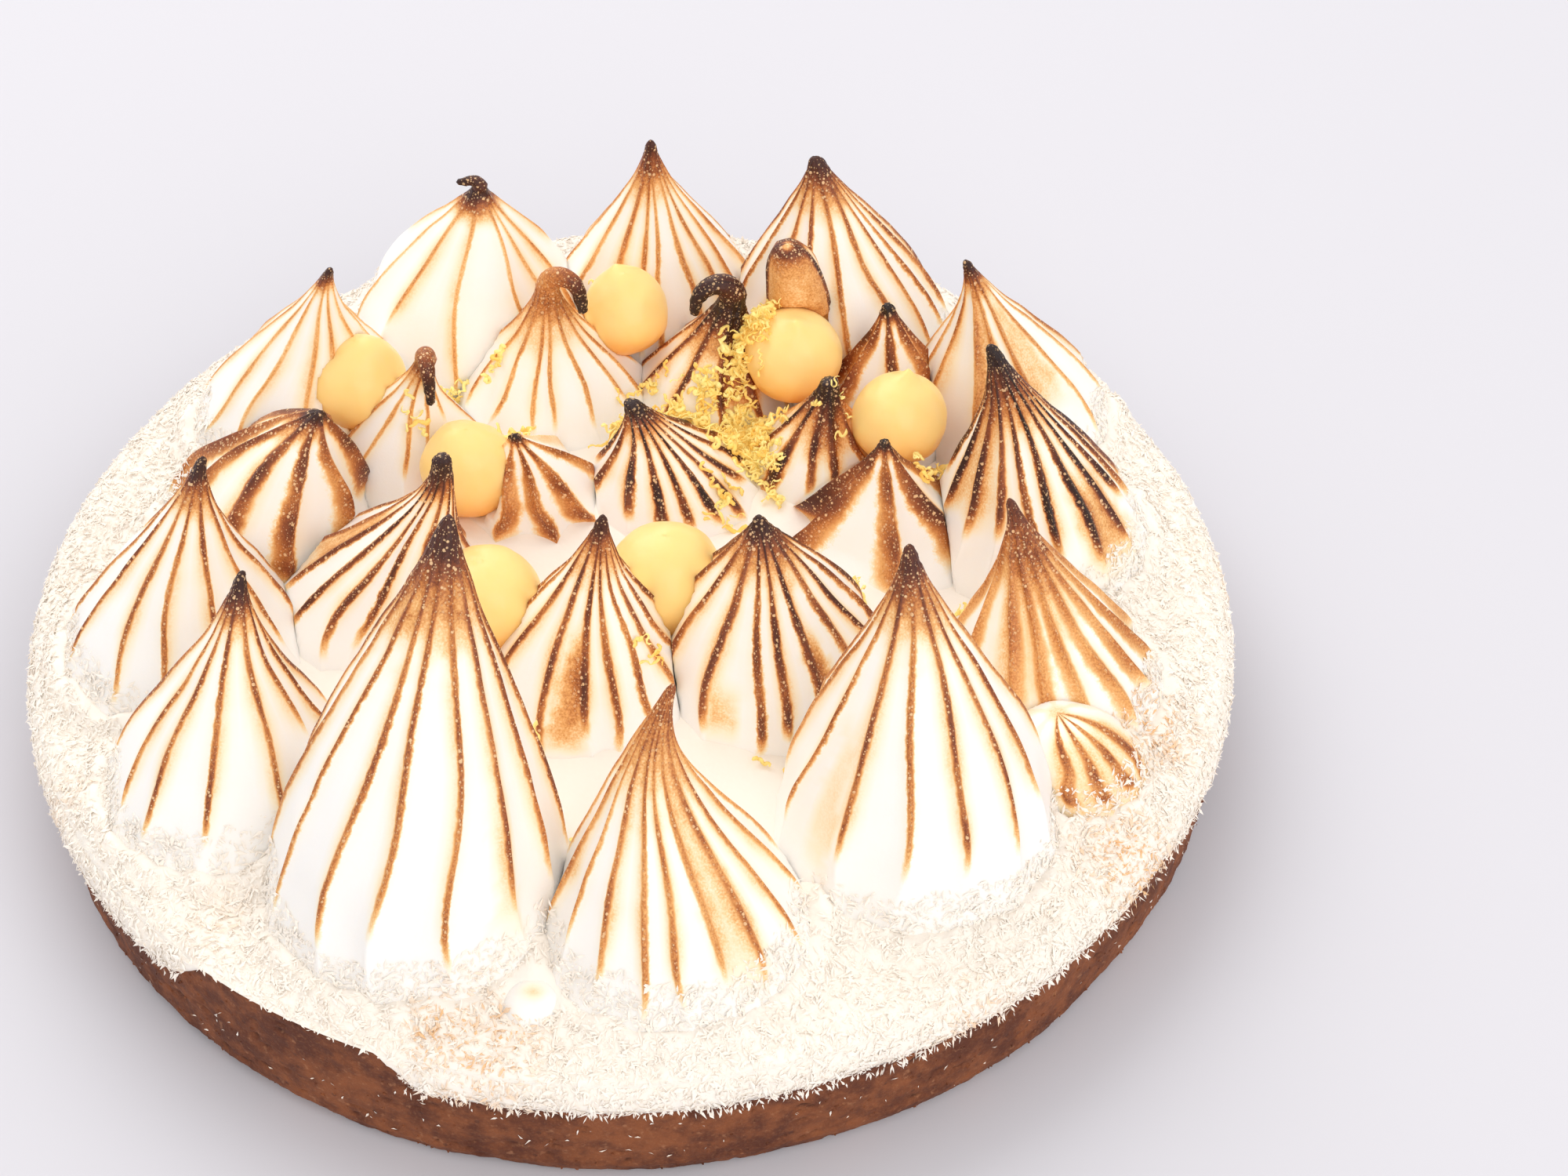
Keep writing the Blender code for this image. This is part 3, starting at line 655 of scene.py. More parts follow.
class PIE_OT_crust(bpy.types.Operator):
    """Bake the shortcrust case"""

    bl_idname = "pie.crust"
    bl_label = "Shortcrust case"

    def execute(self, context):
        settings = context.scene.pie_crust
        outer = CASE_RADIUS
        profile = [
            (0.0, 0.0, 0.0), (outer - 4.2, 0.0, 0.0), (outer - 2.4, 0.25, 0.4), (outer - 1.5, 0.9, 0.7),
            (outer - 0.5, 3.2, 1.0), (outer, 10.5, 1.0), (outer, CASE_TOP - 1.1, 1.0),
            (outer - 0.3, CASE_TOP - 0.4, 1.0), (outer - 1.0, CASE_TOP, 1.0), (outer - 9.0, CASE_TOP, 0.2),
            (0.0, CASE_TOP, 0.0),
        ]
        profile = [(*row, row[0], row[1]) for row in profile]
        profile = resample(profile, lambda radius: 0.6 if radius > outer - 3 else 30)
        columns = 1000
        rings, reach = turned_rings(profile, columns)
        wall = soft_step(outer - 5, outer - 1.5, reach)
        relief = clouds(rings, 9.0, 1) * 1.3 + clouds(rings, 2.6, 2) * 0.8 + clouds(rings, 1.1, 3) * 0.5
        push = relief * settings.relief / MM * wall
        pit = np.zeros(reach.shape)
        dice = random.Random(11)
        angles = ring_angles(columns)
        for _ in range(settings.pits):
            spot, height = dice.uniform(0, TAU), dice.uniform(0.5, 22.0)
            wide, tall = dice.uniform(0.3, 1.0) ** 2 * 3.2, dice.uniform(0.25, 0.8)
            across = ((angles - spot + math.pi) % TAU - math.pi) * outer
            tilt = dice.uniform(-0.35, 0.35)
            away = (across / wide) ** 2 + ((rings[..., 2] - height - across * tilt) / tall) ** 2
            pit = np.maximum(pit, np.exp(-away * 1.4) * dice.uniform(0.5, 1.0))
        pit *= wall
        push -= pit * 0.85
        push_out(rings, push)
        low = soft_step(3.0, 0.0, rings[..., 2]) * wall
        rings[..., 2] = np.maximum(rings[..., 2] + clouds(rings, 3.0, 5) * 0.3 * wall * (1 - low), 0.0)
        # The pit values also paint shade into the pits through the crust's material
        wrap(*add_skin("shortcrust_case", columns, len(profile) - 1), rings, pit=pit)
        settle(context.object, crust_look(settings), "shortcrust", "crust")
        return {"FINISHED"}


class PIE_OT_coconut_bed(bpy.types.Operator):
    """Lay the coconut-covered top, whose rim hangs over the crust"""

    bl_idname = "pie.coconut_bed"
    bl_label = "Coconut bed"

    def execute(self, context):
        inner = CASE_RADIUS + GAP
        under = CASE_TOP + GAP
        thin = 0.15  # between the layers of the skirt where the wall is bare
        top = BED_TOP
        profile = [
            (0.0, under, 0.0, 0.0, under),
            (inner, under, 1.0, inner, under),
            (inner, SKIRT_FOOT + 0.4, 1.0, inner, under - thin),
            (RIM_RADIUS - 0.7, SKIRT_FOOT, 1.0, inner + thin, under),
            (RIM_RADIUS, SKIRT_FOOT + 2.0, 1.0, inner + 2 * thin, under + thin),
            (RIM_RADIUS - 0.5, top - 2.4, 1.0, inner + thin, under + 2 * thin),
            (RIM_RADIUS - 2.0, top - 0.8, 0.8, inner - 0.8, under + 0.5),
            (RIM_RADIUS - 4.0, top, 0.3, inner - 1.8, top),
            (RIM_RADIUS - 8.0, top + 0.2, 0.0, RIM_RADIUS - 8.0, top + 0.2),
            (RIM_RADIUS - 14.0, top - 0.5, 0.0, RIM_RADIUS - 14.0, top - 0.5),
            (72.0, top - 0.3, 0.0, 72.0, top - 0.3),
            (58.0, top + 0.8, 0.0, 58.0, top + 0.8),
            (38.0, top + 3.0, 0.0, 38.0, top + 3.0),
            (0.0, top + 3.6, 0.0, 0.0, top + 3.6),
        ]
        profile = resample(profile, lambda radius: 0.75 if radius > 80 else 2.5)
        columns = 720
        rings, reach = turned_rings(profile, columns)
        height = rings[..., 2]  # moves the rings' points with it
        shown = soft_step(inner + 0.1, inner + 0.7, reach) + soft_step(top - 3, top - 1, height)
        # Slow waves between the kisses, then lumps that are strongest on the rim
        height += clouds(rings, 12.0, 24) * 1.2 * soft_step(70, 55, reach) * (height > top)
        shown = np.clip(shown, 0, 1) * (height > SKIRT_FOOT)
        lumps = clouds(rings, 6.0, 21) * 0.55 + clouds(rings, 1.9, 22) * 0.45 + clouds(rings, 0.9, 23) * 0.25
        outer = soft_step(78, 88, reach)
        height += lumps * shown * (0.25 + 0.75 * outer) * soft_step(0, 0.4, height - under + 0.3)
        push_out(rings, lumps * 0.6 * shown * soft_step(inner - 1, inner + 0.3, reach))
        # Coconut heaped against the feet of the outer kisses
        for kiss in KISSES:
            if kiss.distance > OUTER_KISS:
                apart = np.linalg.norm(rings[..., :2] - stand(kiss), axis=-1) - plain_radius(kiss, 0.0)
                heap = np.exp(-((np.maximum(apart, 0) / 2.4) ** 2)) * (2.2 + clouds(rings, 4.0, 25) * 1.2)
                height += heap * soft_step(-6, -1, apart) * soft_step(66, 72, reach) * (height > top - 1)
        wrap(*add_skin("coconut_bed", columns, len(profile) - 1), rings, toast=np.zeros(reach.shape))
        settle(context.object, coconut_look(context.scene.pie_coconut), "coconut", "coconut_top")
        return {"FINISHED"}


# ---------------------------------------------------------------- kisses

# Where the points of a kiss lie between one ridge (0) and the next (1): close together near the ridges
PHASES = np.array((0.0, 0.035, 0.09, 0.18, 0.32, 0.5, 0.68, 0.82, 0.91, 0.965))
HOOK_ROWS = 16
HOOK_TAPER = 0.64  # how much thinner a hook gets, as a share
FIN = 0.42  # how far a dried ridge stands up, mm


def stand(kiss):
    angle = math.radians(kiss.angle)
    return np.array((math.cos(angle), math.sin(angle))) * kiss.distance


def plain_radius(kiss, share):
    """Radius at a share of the height, before ridges, in millimetres."""
    share = np.clip(share, 0.0, 1.0)
    radius = kiss.radius * (1 - share**kiss.bulge) ** kiss.point
    if kiss.point > 1:
        radius = radius * (1 + FOOT_FLARE * np.clip(1 - share / FLARE_END, 0, 1) ** 2)
    return radius + kiss.neck * share


def middle_at(kiss, share):
    lean = np.array(kiss.lean, float) * share**LEAN_POWER
    return stand(kiss) + lean + np.array(kiss.bow, float) * math.sin(math.pi * share**2)


def neighbour_walls(kiss, share):
    """At one height, the upright planes (normal, reach from the middle) where neighbours press."""
    height = share * kiss.height
    here, size = middle_at(kiss, share), float(plain_radius(kiss, share))
    walls = []
    for other in KISSES:
        if other.name == kiss.name or height >= other.height:
            continue
        other_share = height / other.height
        apart = middle_at(other, other_share) - here
        between = float(np.linalg.norm(apart))
        other_size = float(plain_radius(other, other_share))
        if between < 1e-6 or between >= size + other_size:
            continue
        reach = (between**2 + size**2 - other_size**2) / (2 * between)
        walls.append((apart / between, reach))
    return walls


def clear_of_balls(reach, centre, height, direction):
    """Shortens a reach that would end inside a curd ball, all in millimetres."""
    for ball in BALLS:
        room = ball.radius + 0.05
        rise = height - ball.z
        if abs(rise) >= room:
            continue
        away = centre - np.array((ball.x, ball.y))
        along = direction @ away
        square = along**2 - (away @ away + rise**2 - room**2)
        near = -along - np.sqrt(np.maximum(square, 0))
        far = -along + np.sqrt(np.maximum(square, 0))
        inside = (square > 0) & (reach > near) & (reach < far) & (near > 0.1)
        reach = np.where(inside, near, reach)
    return reach


def ridge_starts(kiss, dice):
    """The direction of each ridge half-way up, in degrees, counter-clockwise."""
    given = list(kiss.lines)
    jitter = 0.1 if kiss.groove > DEEP_GROOVE else 0.22
    if not given:
        spacing = 360 / kiss.ridges
        return [kiss.facing + (ridge + dice.uniform(-jitter, jitter)) * spacing for ridge in range(kiss.ridges)]
    others = kiss.ridges - len(given)
    spacing = (given[0] + 360 - given[-1]) / (others + 1)
    return given + [given[-1] + (more + 1 + dice.uniform(-jitter, jitter)) * spacing for more in range(others)]


def ridge_lines(kiss, rows, dice):
    """The direction of every ridge at every row, slightly wandering, and closing on itself."""
    spacing = TAU / kiss.ridges
    lines = np.empty((len(rows), kiss.ridges + 1))
    for ridge, start in enumerate(ridge_starts(kiss, dice)):
        waves = [(dice.uniform(0.5, 2.2), dice.uniform(0, TAU), dice.uniform(0.02, 0.06)) for _ in range(3)]
        sway, kick = dice.uniform(-0.25, 0.25), dice.uniform(-0.22, 0.22)
        offset = sum(size * np.sin(TAU * many * rows + phase) for many, phase, size in waves)
        offset = offset + sway * np.clip(1 - rows / 0.35, 0, 1) ** 2 + kick * np.clip(1 - rows / 0.2, 0, 1) ** 2
        lines[:, ridge] = math.radians(start) + offset * spacing
    lines[:, -1] = lines[:, 0] + TAU
    return lines + math.radians(kiss.twist) * (rows[:, None] - 0.5)


def ridge_strengths(kiss, rows, dice):
    """How strongly the torch caught each ridge at each row: most at the top, fading out near the foot."""
    toast = kiss.toast
    made = np.empty((len(rows), kiss.ridges + 1))
    for ridge in range(kiss.ridges):
        ends = toast.low * dice.uniform(0.6, 1.5)
        level = dice.uniform(0.84, 1.06)
        if dice.random() < toast.broken:
            ends = dice.uniform(0.3, 0.6)
        if kiss.lines and ridge >= len(kiss.lines):
            level *= toast.others
        fade = soft_step(ends - 0.02, ends + 0.12, rows) ** 0.7
        beat = 1 - 0.2 * (0.5 + 0.5 * np.sin(TAU * dice.uniform(1.2, 3.5) * rows + dice.uniform(0, TAU)))
        made[:, ridge] = level * fade * beat
    made[:, -1] = made[:, 0]
    return made


def hook_rings(kiss, start, directions, radius):
    """Centres and rings along a curled tip."""
    heading, bend, tail, turn = kiss.hook
    along = np.array((math.cos(math.radians(heading)), math.sin(math.radians(heading)), 0.0))
    up = np.array((0.0, 0.0, 1.0))
    side = np.cross(up, along)
    bow = math.radians(turn) * bend
    total = bow + tail
    rings = []
    for step in range(1, HOOK_ROWS + 1):
        gone = total * step / HOOK_ROWS
        turned = math.radians(turn) * min(1.0, gone / bow)
        centre = start + (along * (1 - math.cos(turned)) + up * math.sin(turned)) * bend
        ahead = along * math.sin(turned) + up * math.cos(turned)
        centre = centre + ahead * max(0.0, gone - bow)
        across = along * math.cos(turned) - up * math.sin(turned)
        size = radius * (1 - HOOK_TAPER * step / HOOK_ROWS)
        flat = np.stack((np.cos(directions), np.sin(directions), np.zeros_like(directions)), -1)
        ring = centre + ((flat @ along)[:, None] * across + (flat @ side)[:, None] * side) * size
        rings.append(ring)
    return np.array(rings), centre + ahead * size * 0.8


class Ridges(NamedTuple):
    """How the points of a kiss lie between its ridges."""

    rise: np.ndarray  # height of each row, 0 to 1
    cell: np.ndarray  # the ridge before each column
    phase: np.ndarray  # how far each column is from there to the next ridge, 0 to 1
    lines: np.ndarray  # direction of each ridge at each row
    strengths: np.ndarray  # how strongly the torch caught it there
    direction: np.ndarray  # of each point
    before: np.ndarray  # how far each point is from the ridge before it, mm
    after: np.ndarray  # and from the one after


def grooved(kiss, rows, dice):
    """A kiss's ridges, and how far its points reach from its middle line while nothing stands in their way."""
    lines = ridge_lines(kiss, rows, dice)
    strengths = ridge_strengths(kiss, rows, dice)
    depth = kiss.groove * np.array([dice.uniform(0.7, 1.25) for _ in range(kiss.ridges)])
    cell = np.repeat(np.arange(kiss.ridges), len(PHASES))
    phase = np.tile(PHASES, kiss.ridges)
    width = lines[:, cell + 1] - lines[:, cell]
    direction = lines[:, cell] + phase * width
    blunt = 2.0 if kiss.groove > DEEP_GROOVE else 2.6
    groove = depth[cell] * (1 - np.abs(2 * phase - 1) ** blunt)
    size = plain_radius(kiss, rows)
    if not kiss.hook:
        tip_round = np.sqrt(np.clip(1 - (np.clip(rows - 0.965, 0, 1) / 0.035) ** 2, 0.0, 1))
        size = size * np.maximum(tip_round, 0.25)
    settled = 0.35 + 0.65 * soft_step(0.0, 0.2, rows)
    reach = size[:, None] * (1 - groove[None] * settled[:, None])
    before = phase[None] * width * reach
    after = (1 - phase[None]) * width * reach
    strength = strengths[:, np.where(phase < 0.5, cell, cell + 1)]
    fin = FIN * kiss.toast.line * strength * np.exp(-((np.minimum(before, after) / 0.5) ** 2))
    reach = reach + fin * soft_step(1.0, 0.8, rows)[:, None]
    return Ridges(rows[:, None], cell, phase, lines, strengths, direction, before, after), reach


def trimmed(kiss, share, facing, reach):
    """Shortens one row's reach where neighbours press, and where curd balls or the rim are in its way."""
    centre = middle_at(kiss, share)
    for normal, wall in neighbour_walls(kiss, share):
        towards = facing @ normal
        room = max(wall, 0.1)
        reach = np.where(towards > 1e-6, np.minimum(reach, room / np.maximum(towards, 1e-6)), reach)
    reach = clear_of_balls(reach, centre, KISS_FOOT + share * kiss.height, facing)
    outwards = facing @ centre
    to_rim = np.sqrt(np.maximum(outwards**2 + KISS_LIMIT**2 - centre @ centre, 0.01)) - outwards
    return np.minimum(reach, to_rim)


def band_sizes(kiss, dice):
    """How much of a soft band each ridge has on one of its sides. The last stands for the first again."""
    made = [dice.choice((0.25, 1.0, 1.0)) for _ in range(kiss.ridges)]
    return np.array(made + made[:1])


def browning(kiss, ridges, places, dice):
    """How brown each point is: the tip, soft bands beside the ridges, broad sides and round marks."""
    toast, rise, cell = kiss.toast, ridges.rise, ridges.cell
    bands_after, bands_before = band_sizes(kiss, dice), band_sizes(kiss, dice)
    cloud = clouds(places, 5.0, 31 + kiss.angle) * 0.5 + clouds(places, 1.8, 37) * 0.25
    tip = soft_step(1 - 1.5 * toast.tip, 1 - 0.1 * toast.tip, rise + cloud * 0.1 * toast.tip / 0.25)
    burn = toast.dark * tip**1.2
    spacing = ridges.before + ridges.after
    halo = np.minimum(toast.spread * (0.55 + 0.45 * soft_step(0.05, 0.5, rise)), 0.3 * spacing)
    bands = ridges.strengths[:, cell] * bands_after[cell] * np.exp(-((ridges.before / halo) ** 2))
    bands = bands + ridges.strengths[:, cell + 1] * bands_before[cell + 1] * np.exp(-((ridges.after / halo) ** 2))
    bands = bands * toast.halo * (0.8 + 0.5 * cloud) * soft_step(0.02, 0.35, rise)
    burn = burn + bands * (1 - burn)
    for heading, half, low, high, power in toast.patches:
        away = np.abs((ridges.direction - math.radians(heading) + math.pi) % TAU - math.pi)
        patch = soft_step(math.radians(half) * 1.25, math.radians(half) * 0.5, away + cloud * 0.25)
        patch = patch * soft_step(low - 0.08, low + 0.12, rise + cloud * 0.1)
        patch = patch * soft_step(high + 0.1, high - 0.1, rise)
        burn = burn + patch * power * (1 - burn) * (0.75 + 0.25 * np.abs(2 * ridges.phase - 1))
    for x, y, z, radius, power in toast.blots:
        near = np.exp(-((np.linalg.norm(places - np.array((x, y, z)), axis=-1) / radius) ** 2))
        burn = burn + near * power * np.where(power > 0, 1 - burn, burn)
    return np.clip(burn, 0, 1)


def torched_lines(kiss, ridges):
    """Three values of each point.

    They are how far it is from a ridge, as a share of the dark line's half width there, how dark that line
    is, and how much it widens towards the foot, as it does on the sides of a petal that face the front.
    """
    fan = kiss.toast.fan * (1 - ridges.rise) ** 1.2
    spacing = ridges.before + ridges.after
    sides = []
    for gap, ridge, way in ((ridges.before, ridges.cell, -1), (ridges.after, ridges.cell + 1, 1)):
        spare = fan * (0.12 + 0.88 * soft_step(-0.25, 0.25, way * np.cos(ridges.lines[:, ridge])))
        wide = spare / (1 + spare)
        reached = np.minimum(kiss.toast.width * (1 + spare), (0.21 + 0.68 * wide) * spacing)
        sides.append((gap / reached, ridges.strengths[:, ridge], wide))
    closer = sides[1][0] < sides[0][0]
    crest, strength, wide = (np.where(closer, after, before) for before, after in zip(*sides))
    return {"crest": crest, "line": kiss.toast.line * strength, "wide": wide}


def shape_kiss(kiss, settings, dice):
    """Rings of places in millimetres for one kiss, and the values that its browning is drawn from."""
    rows = 1 - (1 - np.linspace(0.0, 1.0, settings.rows)) ** 1.2
    ridges, reach = grooved(kiss, rows, dice)
    columns = len(ridges.cell)
    places = np.empty((len(rows), columns, 3))
    for index, share in enumerate(rows):
        facing = np.stack((np.cos(ridges.direction[index]), np.sin(ridges.direction[index])), -1)
        places[index, :, :2] = middle_at(kiss, share) + facing * trimmed(kiss, share, facing, reach[index])[:, None]
        places[index, :, 2] = KISS_FOOT + share * kiss.height
    values = {**torched_lines(kiss, ridges), "burn": browning(kiss, ridges, places, dice)}
    axis = [middle_at(kiss, share) for share in rows]
    axis = np.concatenate((np.array(axis), places[:, 0, 2:]), 1)
    end = np.array((*stand(kiss), KISS_FOOT + kiss.height)) + np.array((*kiss.lean, 0.0))

    if kiss.hook:
        rings, end = hook_rings(kiss, places[-1].mean(0), ridges.direction[-1], kiss.neck)
        climb = np.linspace(0, 1, HOOK_ROWS)[:, None] * np.ones(columns)
        hook = {name: np.repeat(value[-1:], HOOK_ROWS, 0) for name, value in values.items()}
        hook["burn"] = kiss.toast.dark + (1.0 - kiss.toast.dark) * soft_step(0.1, 0.85, climb)
        hook["burn"] = np.clip(hook["burn"] * (0.94 + 0.1 * clouds(rings, 1.2, 41)), 0, 1)
        values = {name: np.concatenate((value, hook[name])) for name, value in values.items()}
        places = np.concatenate((places, rings))
        axis = np.concatenate((axis, rings.mean(1)))

    # Soft lumps everywhere, and a rough skin where it is charred
    outward = places - axis[:, None]
    length = np.maximum(np.linalg.norm(outward, axis=-1, keepdims=True), 0.05)
    lumps = clouds(places, 7.0, 43) * settings.lumps / MM
    char = soft_step(0.55, 0.95, values["burn"])
    rough = (clouds(places, 1.1, 47) * 0.26 + clouds(places, 0.55, 53) * 0.12) * char
    lump_fade = soft_step(0, 6, length[..., 0])
    places = places + outward / length * (lumps * lump_fade + rough)[..., None]

    # The underside, and the two poles
    foot = places[:1].copy()
    foot[..., 2] -= FOOT_SINK
    under = axis[0] + (foot - axis[0]) * np.array((0.5, 0.5, 1.0))
    pole = np.broadcast_to(np.array((*axis[0, :2], KISS_FOOT - FOOT_SINK)), (1, columns, 3))
    top = np.broadcast_to(end, (1, columns, 3))
    places = np.concatenate((pole, under, foot, places, top))
    values = {name: np.concatenate((v[:1], v[:1], v[:1], v, v[-1:])) for name, v in values.items()}
    return places, values, columns


class PIE_OT_kisses(bpy.types.Operator):
    """Pipe and torch the meringue kisses"""

    bl_idname = "pie.kisses"
    bl_label = "Meringue kisses"

    def execute(self, context):
        settings = context.scene.pie_meringue
        look = meringue_look(settings)
        for index, kiss in enumerate(KISSES):
            dice = random.Random(100 + index)
            places, values, columns = shape_kiss(kiss, settings, dice)
            wrap(*add_skin(f"meringue_{kiss.name}", columns, len(places) - 1), places, **values)
            settle(context.object, look, "meringue", kiss.name)
        return {"FINISHED"}


class PIE_OT_dollop(bpy.types.Operator):
    """Drop the little meringue dollop beside the front kiss"""

    bl_idname = "pie.dollop"
    bl_label = "Meringue dollop"

    def execute(self, context):
        columns, rows, radius, height = 48, 30, 5.4, 5.0
        climb = np.linspace(0, 1, rows + 1)[:, None]
        angles = ring_angles(columns)[None]
        out = radius * np.sin(math.pi * (0.5 + 0.5 * climb)) ** 0.8
        out = np.where(climb < 0.04, radius * climb / 0.04, out)
        dimple = np.exp(-((out / 1.7) ** 2)) * (climb > 0.5)
        rings = np.stack((out * np.cos(angles), out * np.sin(angles) * np.ones_like(out),
                          (height * climb - dimple * 1.3) * np.ones_like(angles)), -1)
        rings = rings + np.array((*DOLLOP[:2], BED_TOP - 1.6))
        rings = rings + clouds(rings, 3.0, 61)[..., None] * 0.25
        flat = np.zeros(rings.shape[:2])
        wrap(*add_skin("meringue_dollop", columns, rows), rings, crest=flat + 9, line=flat,
             burn=flat + dimple * 0.16, wide=flat)
        settle(context.object, bpy.data.materials["torched meringue"], "meringue")
        return {"FINISHED"}


# ---------------------------------------------------------------- curd balls


class PIE_OT_curd(bpy.types.Operator):
    """Set the lemon curd balls between the kisses"""

    bl_idname = "pie.curd"
    bl_label = "Curd balls"

    def execute(self, context):
        look = curd_look(context.scene.pie_curd)
        columns, rows = 80, 56
        for index, ball in enumerate(BALLS):
            lift = np.linspace(-math.pi / 2, math.pi / 2, rows + 1)[:, None]
            turn = ring_angles(columns)[None]
            unit = np.stack((np.cos(lift) * np.cos(turn), np.cos(lift) * np.sin(turn),
                             np.sin(lift) * np.ones_like(turn)), -1)
            size = ball.radius + clouds(unit, 0.8, 71 + index) * 0.42 + clouds(unit, 0.3, 83 + index) * 0.13
            lean = np.array((math.cos(index * 2.4) * 0.22, math.sin(index * 2.4) * 0.22, 0.95))
            near = unit @ (lean / np.linalg.norm(lean))
            away = np.arccos(np.clip(near, -1, 1))
            size = size + ball.peak * np.exp(-(away / 0.17) ** 1.3) + ball.taper * np.exp(-(away / 0.55) ** 1.4)
            size = size + 0.09 * np.sin(7 * away + turn + index) * np.exp(-(away / 0.9) ** 2)
            rings = unit * size[..., None] + np.array((ball.x, ball.y, ball.z))
            # low runs from 0 at a ball's top to 1 at its underside, for the curd's painted shade
            wrap(*add_skin(f"ball_{ball.name}", columns, rows), rings, low=0.5 - 0.5 * unit[..., 2])
            settle(context.object, look, "lemon_curd", ball.name)
        return {"FINISHED"}


# ---------------------------------------------------------------- strewn things


def surface_tree(names):
    """A search tree over the faces of several pieces."""
    points, faces = [], []
    for name in names:
        mesh = bpy.data.objects[name].data
        start = len(points)
        points += [v.co.copy() for v in mesh.vertices]
        faces += [[start + i for i in p.vertices] for p in mesh.polygons]
    return BVHTree.FromPolygons(points, faces)


def around(angle):
    return Vector((math.cos(angle), math.sin(angle), 0))


def cast_in(tree, angle, height):
    """Where a level line towards the pie's axis first meets the surface, and the normal there."""
    facing = around(angle)
    return tree.ray_cast(facing * CAST_FROM * MM + UP * height * MM, -facing)[:2]


# Where the torch has caught the coconut: x, y and radius, in millimetres
TOASTED_PLACES = ((-18, -91.5, 9), (58.4, -90.1, 10), (78.3, -55.8, 9), (82.7, -31.3, 9), (-24.9, -90.1, 6))


def coconut_toast(spot, dice):
    """How toasted a shred is: faint nearly everywhere, stronger in some places."""
    x, y, _ = (c / MM for c in spot)
    cloud = noise.noise(Vector((x, y, 0)) / 13 + Vector((3.1, 8.2, 0.7)))
    toast = max(0.0, cloud) * 0.5
    for near_x, near_y, wide in TOASTED_PLACES:
        toast = max(toast, math.exp(-(((x - near_x) ** 2 + (y - near_y) ** 2) / wide**2)) * 0.9)
    return min(1.0, toast * dice.uniform(0.0, 1.1) ** 1.6 + dice.uniform(0, 0.08))


TOP_REACH = (70, 99.6)  # how far from the pie's axis coconut lies on the rim's top, mm
FOOT_REACH = 72  # and on the kisses' feet, at least


def spot_on_foot(tree, angle, dice):
    """On the outer side of a kiss's foot."""
    height = BED_TOP + 9.5 * dice.random() ** 1.3
    hit, normal = cast_in(tree, angle, height)
    if hit is None or hit.xy.length < FOOT_REACH * MM or height - BED_TOP > 8.0 + 3.0 * wobble(angle, 5.0, 1.5):
        return None, None
    return hit, normal


def spot_on_side(tree, angle, dice):
    """On the rim's side, except where that is bare."""
    height = dice.uniform(SKIRT_FOOT - 0.4, BED_TOP)
    if bareness(angle) > 0.4 and height < BED_TOP - 0.8:
        return None, None
    return cast_in(tree, angle, height)


def spot_on_top(tree, angle, dice):
    """On the rim's top and a little way up the kisses, thinning out towards the middle."""
    inner, outer = TOP_REACH
    reach = math.sqrt(dice.uniform(inner**2, outer**2))
    hit, normal = tree.ray_cast(around(angle) * reach * MM + UP * CAST_FROM * MM, -UP)[:2]
    if hit is None:
        return None, None
    climb = hit.z / MM - BED_TOP
    limit = 7.0 + 3.0 * wobble(angle, 4.0, 1.5)
    if climb > 1.0 and normal.dot(around(angle)) < 0.05:
        return None, None
    if climb > limit * (1 - 0.75 * dice.random() ** 2):
        return None, None
    if reach < 80 and climb < 0.8 and dice.random() < 0.7 or reach < 76 and climb < 3.0:
        return None, None
    return hit, normal


def coconut_spots(count, tree, dice):
    """Places and normals for shreds: the outer kisses' feet, and the rim's side and top."""
    spots = []
    while len(spots) < count:
        angle, way = dice.uniform(0, TAU), dice.random()
        find = spot_on_foot if way < 0.2 else spot_on_side if way < 0.4 else spot_on_top
        hit, normal = find(tree, angle, dice)
        if hit is not None and hit.z >= (SKIRT_FOOT - 1) * MM:
            spots.append((hit, normal))
    return spots


def rim_edge(count, dice):
    """Directions round the rim, with how far above the coconut's lower edge, where there is coconut."""
    made = []
    while len(made) < count:
        angle = dice.uniform(0, TAU)
        if bareness(angle) < 0.3:
            ragged = dice.uniform(-0.6, 1.0) + wobble(angle, 30.0, 6.0)
            made.append((around(angle), ragged))
    return made


def shred_points(spots, length, slimness, dice, droop=False):
    """Points of one flat spindle for each spot, lying mostly along the surface, or hanging off its lower edge."""
    made = np.empty((len(spots), 6, 3))
    for index, (hit, normal) in enumerate(spots):
        along = normal.orthogonal().normalized()
        side = normal.cross(along)
        turn = dice.uniform(0, TAU)
        tilt = dice.gauss(0.08, 0.27)
        heading = along * math.cos(turn) + side * math.sin(turn)
        if droop:
            heading = (heading * 0.7 - UP + normal * 0.4).normalized()
        heading = (heading * math.cos(tilt) + normal * math.sin(tilt)).normalized()
        flank = normal.cross(heading).normalized()
        spin = dice.uniform(-0.8, 0.8)
        proud = heading.cross(flank)
        wide = flank * math.cos(spin) + proud * math.sin(spin)
        thick = heading.cross(wide)
        half = length * dice.uniform(0.28, 0.85)
        breadth = half * dice.uniform(0.6, 1.3) * slimness
        depth = breadth * 0.4
        centre = hit + normal * dice.uniform(0.0, 0.38) * MM
        bow = normal * dice.uniform(-0.15, 0.2) * MM
        shift = heading * half * dice.uniform(-0.35, 0.35)
        corners = (centre - heading * half + bow, centre + heading * half + bow,
                   centre + shift + wide * breadth, centre + shift - wide * breadth,
                   centre + shift + thick * depth, centre + shift - thick * depth)
        made[index] = [tuple(c) for c in corners]
    return made


FRINGE = 1400  # shreds that hang off the rim's lower edge
STRAYS = 300  # shreds that have dropped onto the crust's wall
CRUMBS = 900
# The faces of one shred
SPINDLE = ((1, 2, 4), (1, 4, 3), (1, 3, 5), (1, 5, 2), (0, 4, 2), (0, 3, 4), (0, 5, 3), (0, 2, 5))


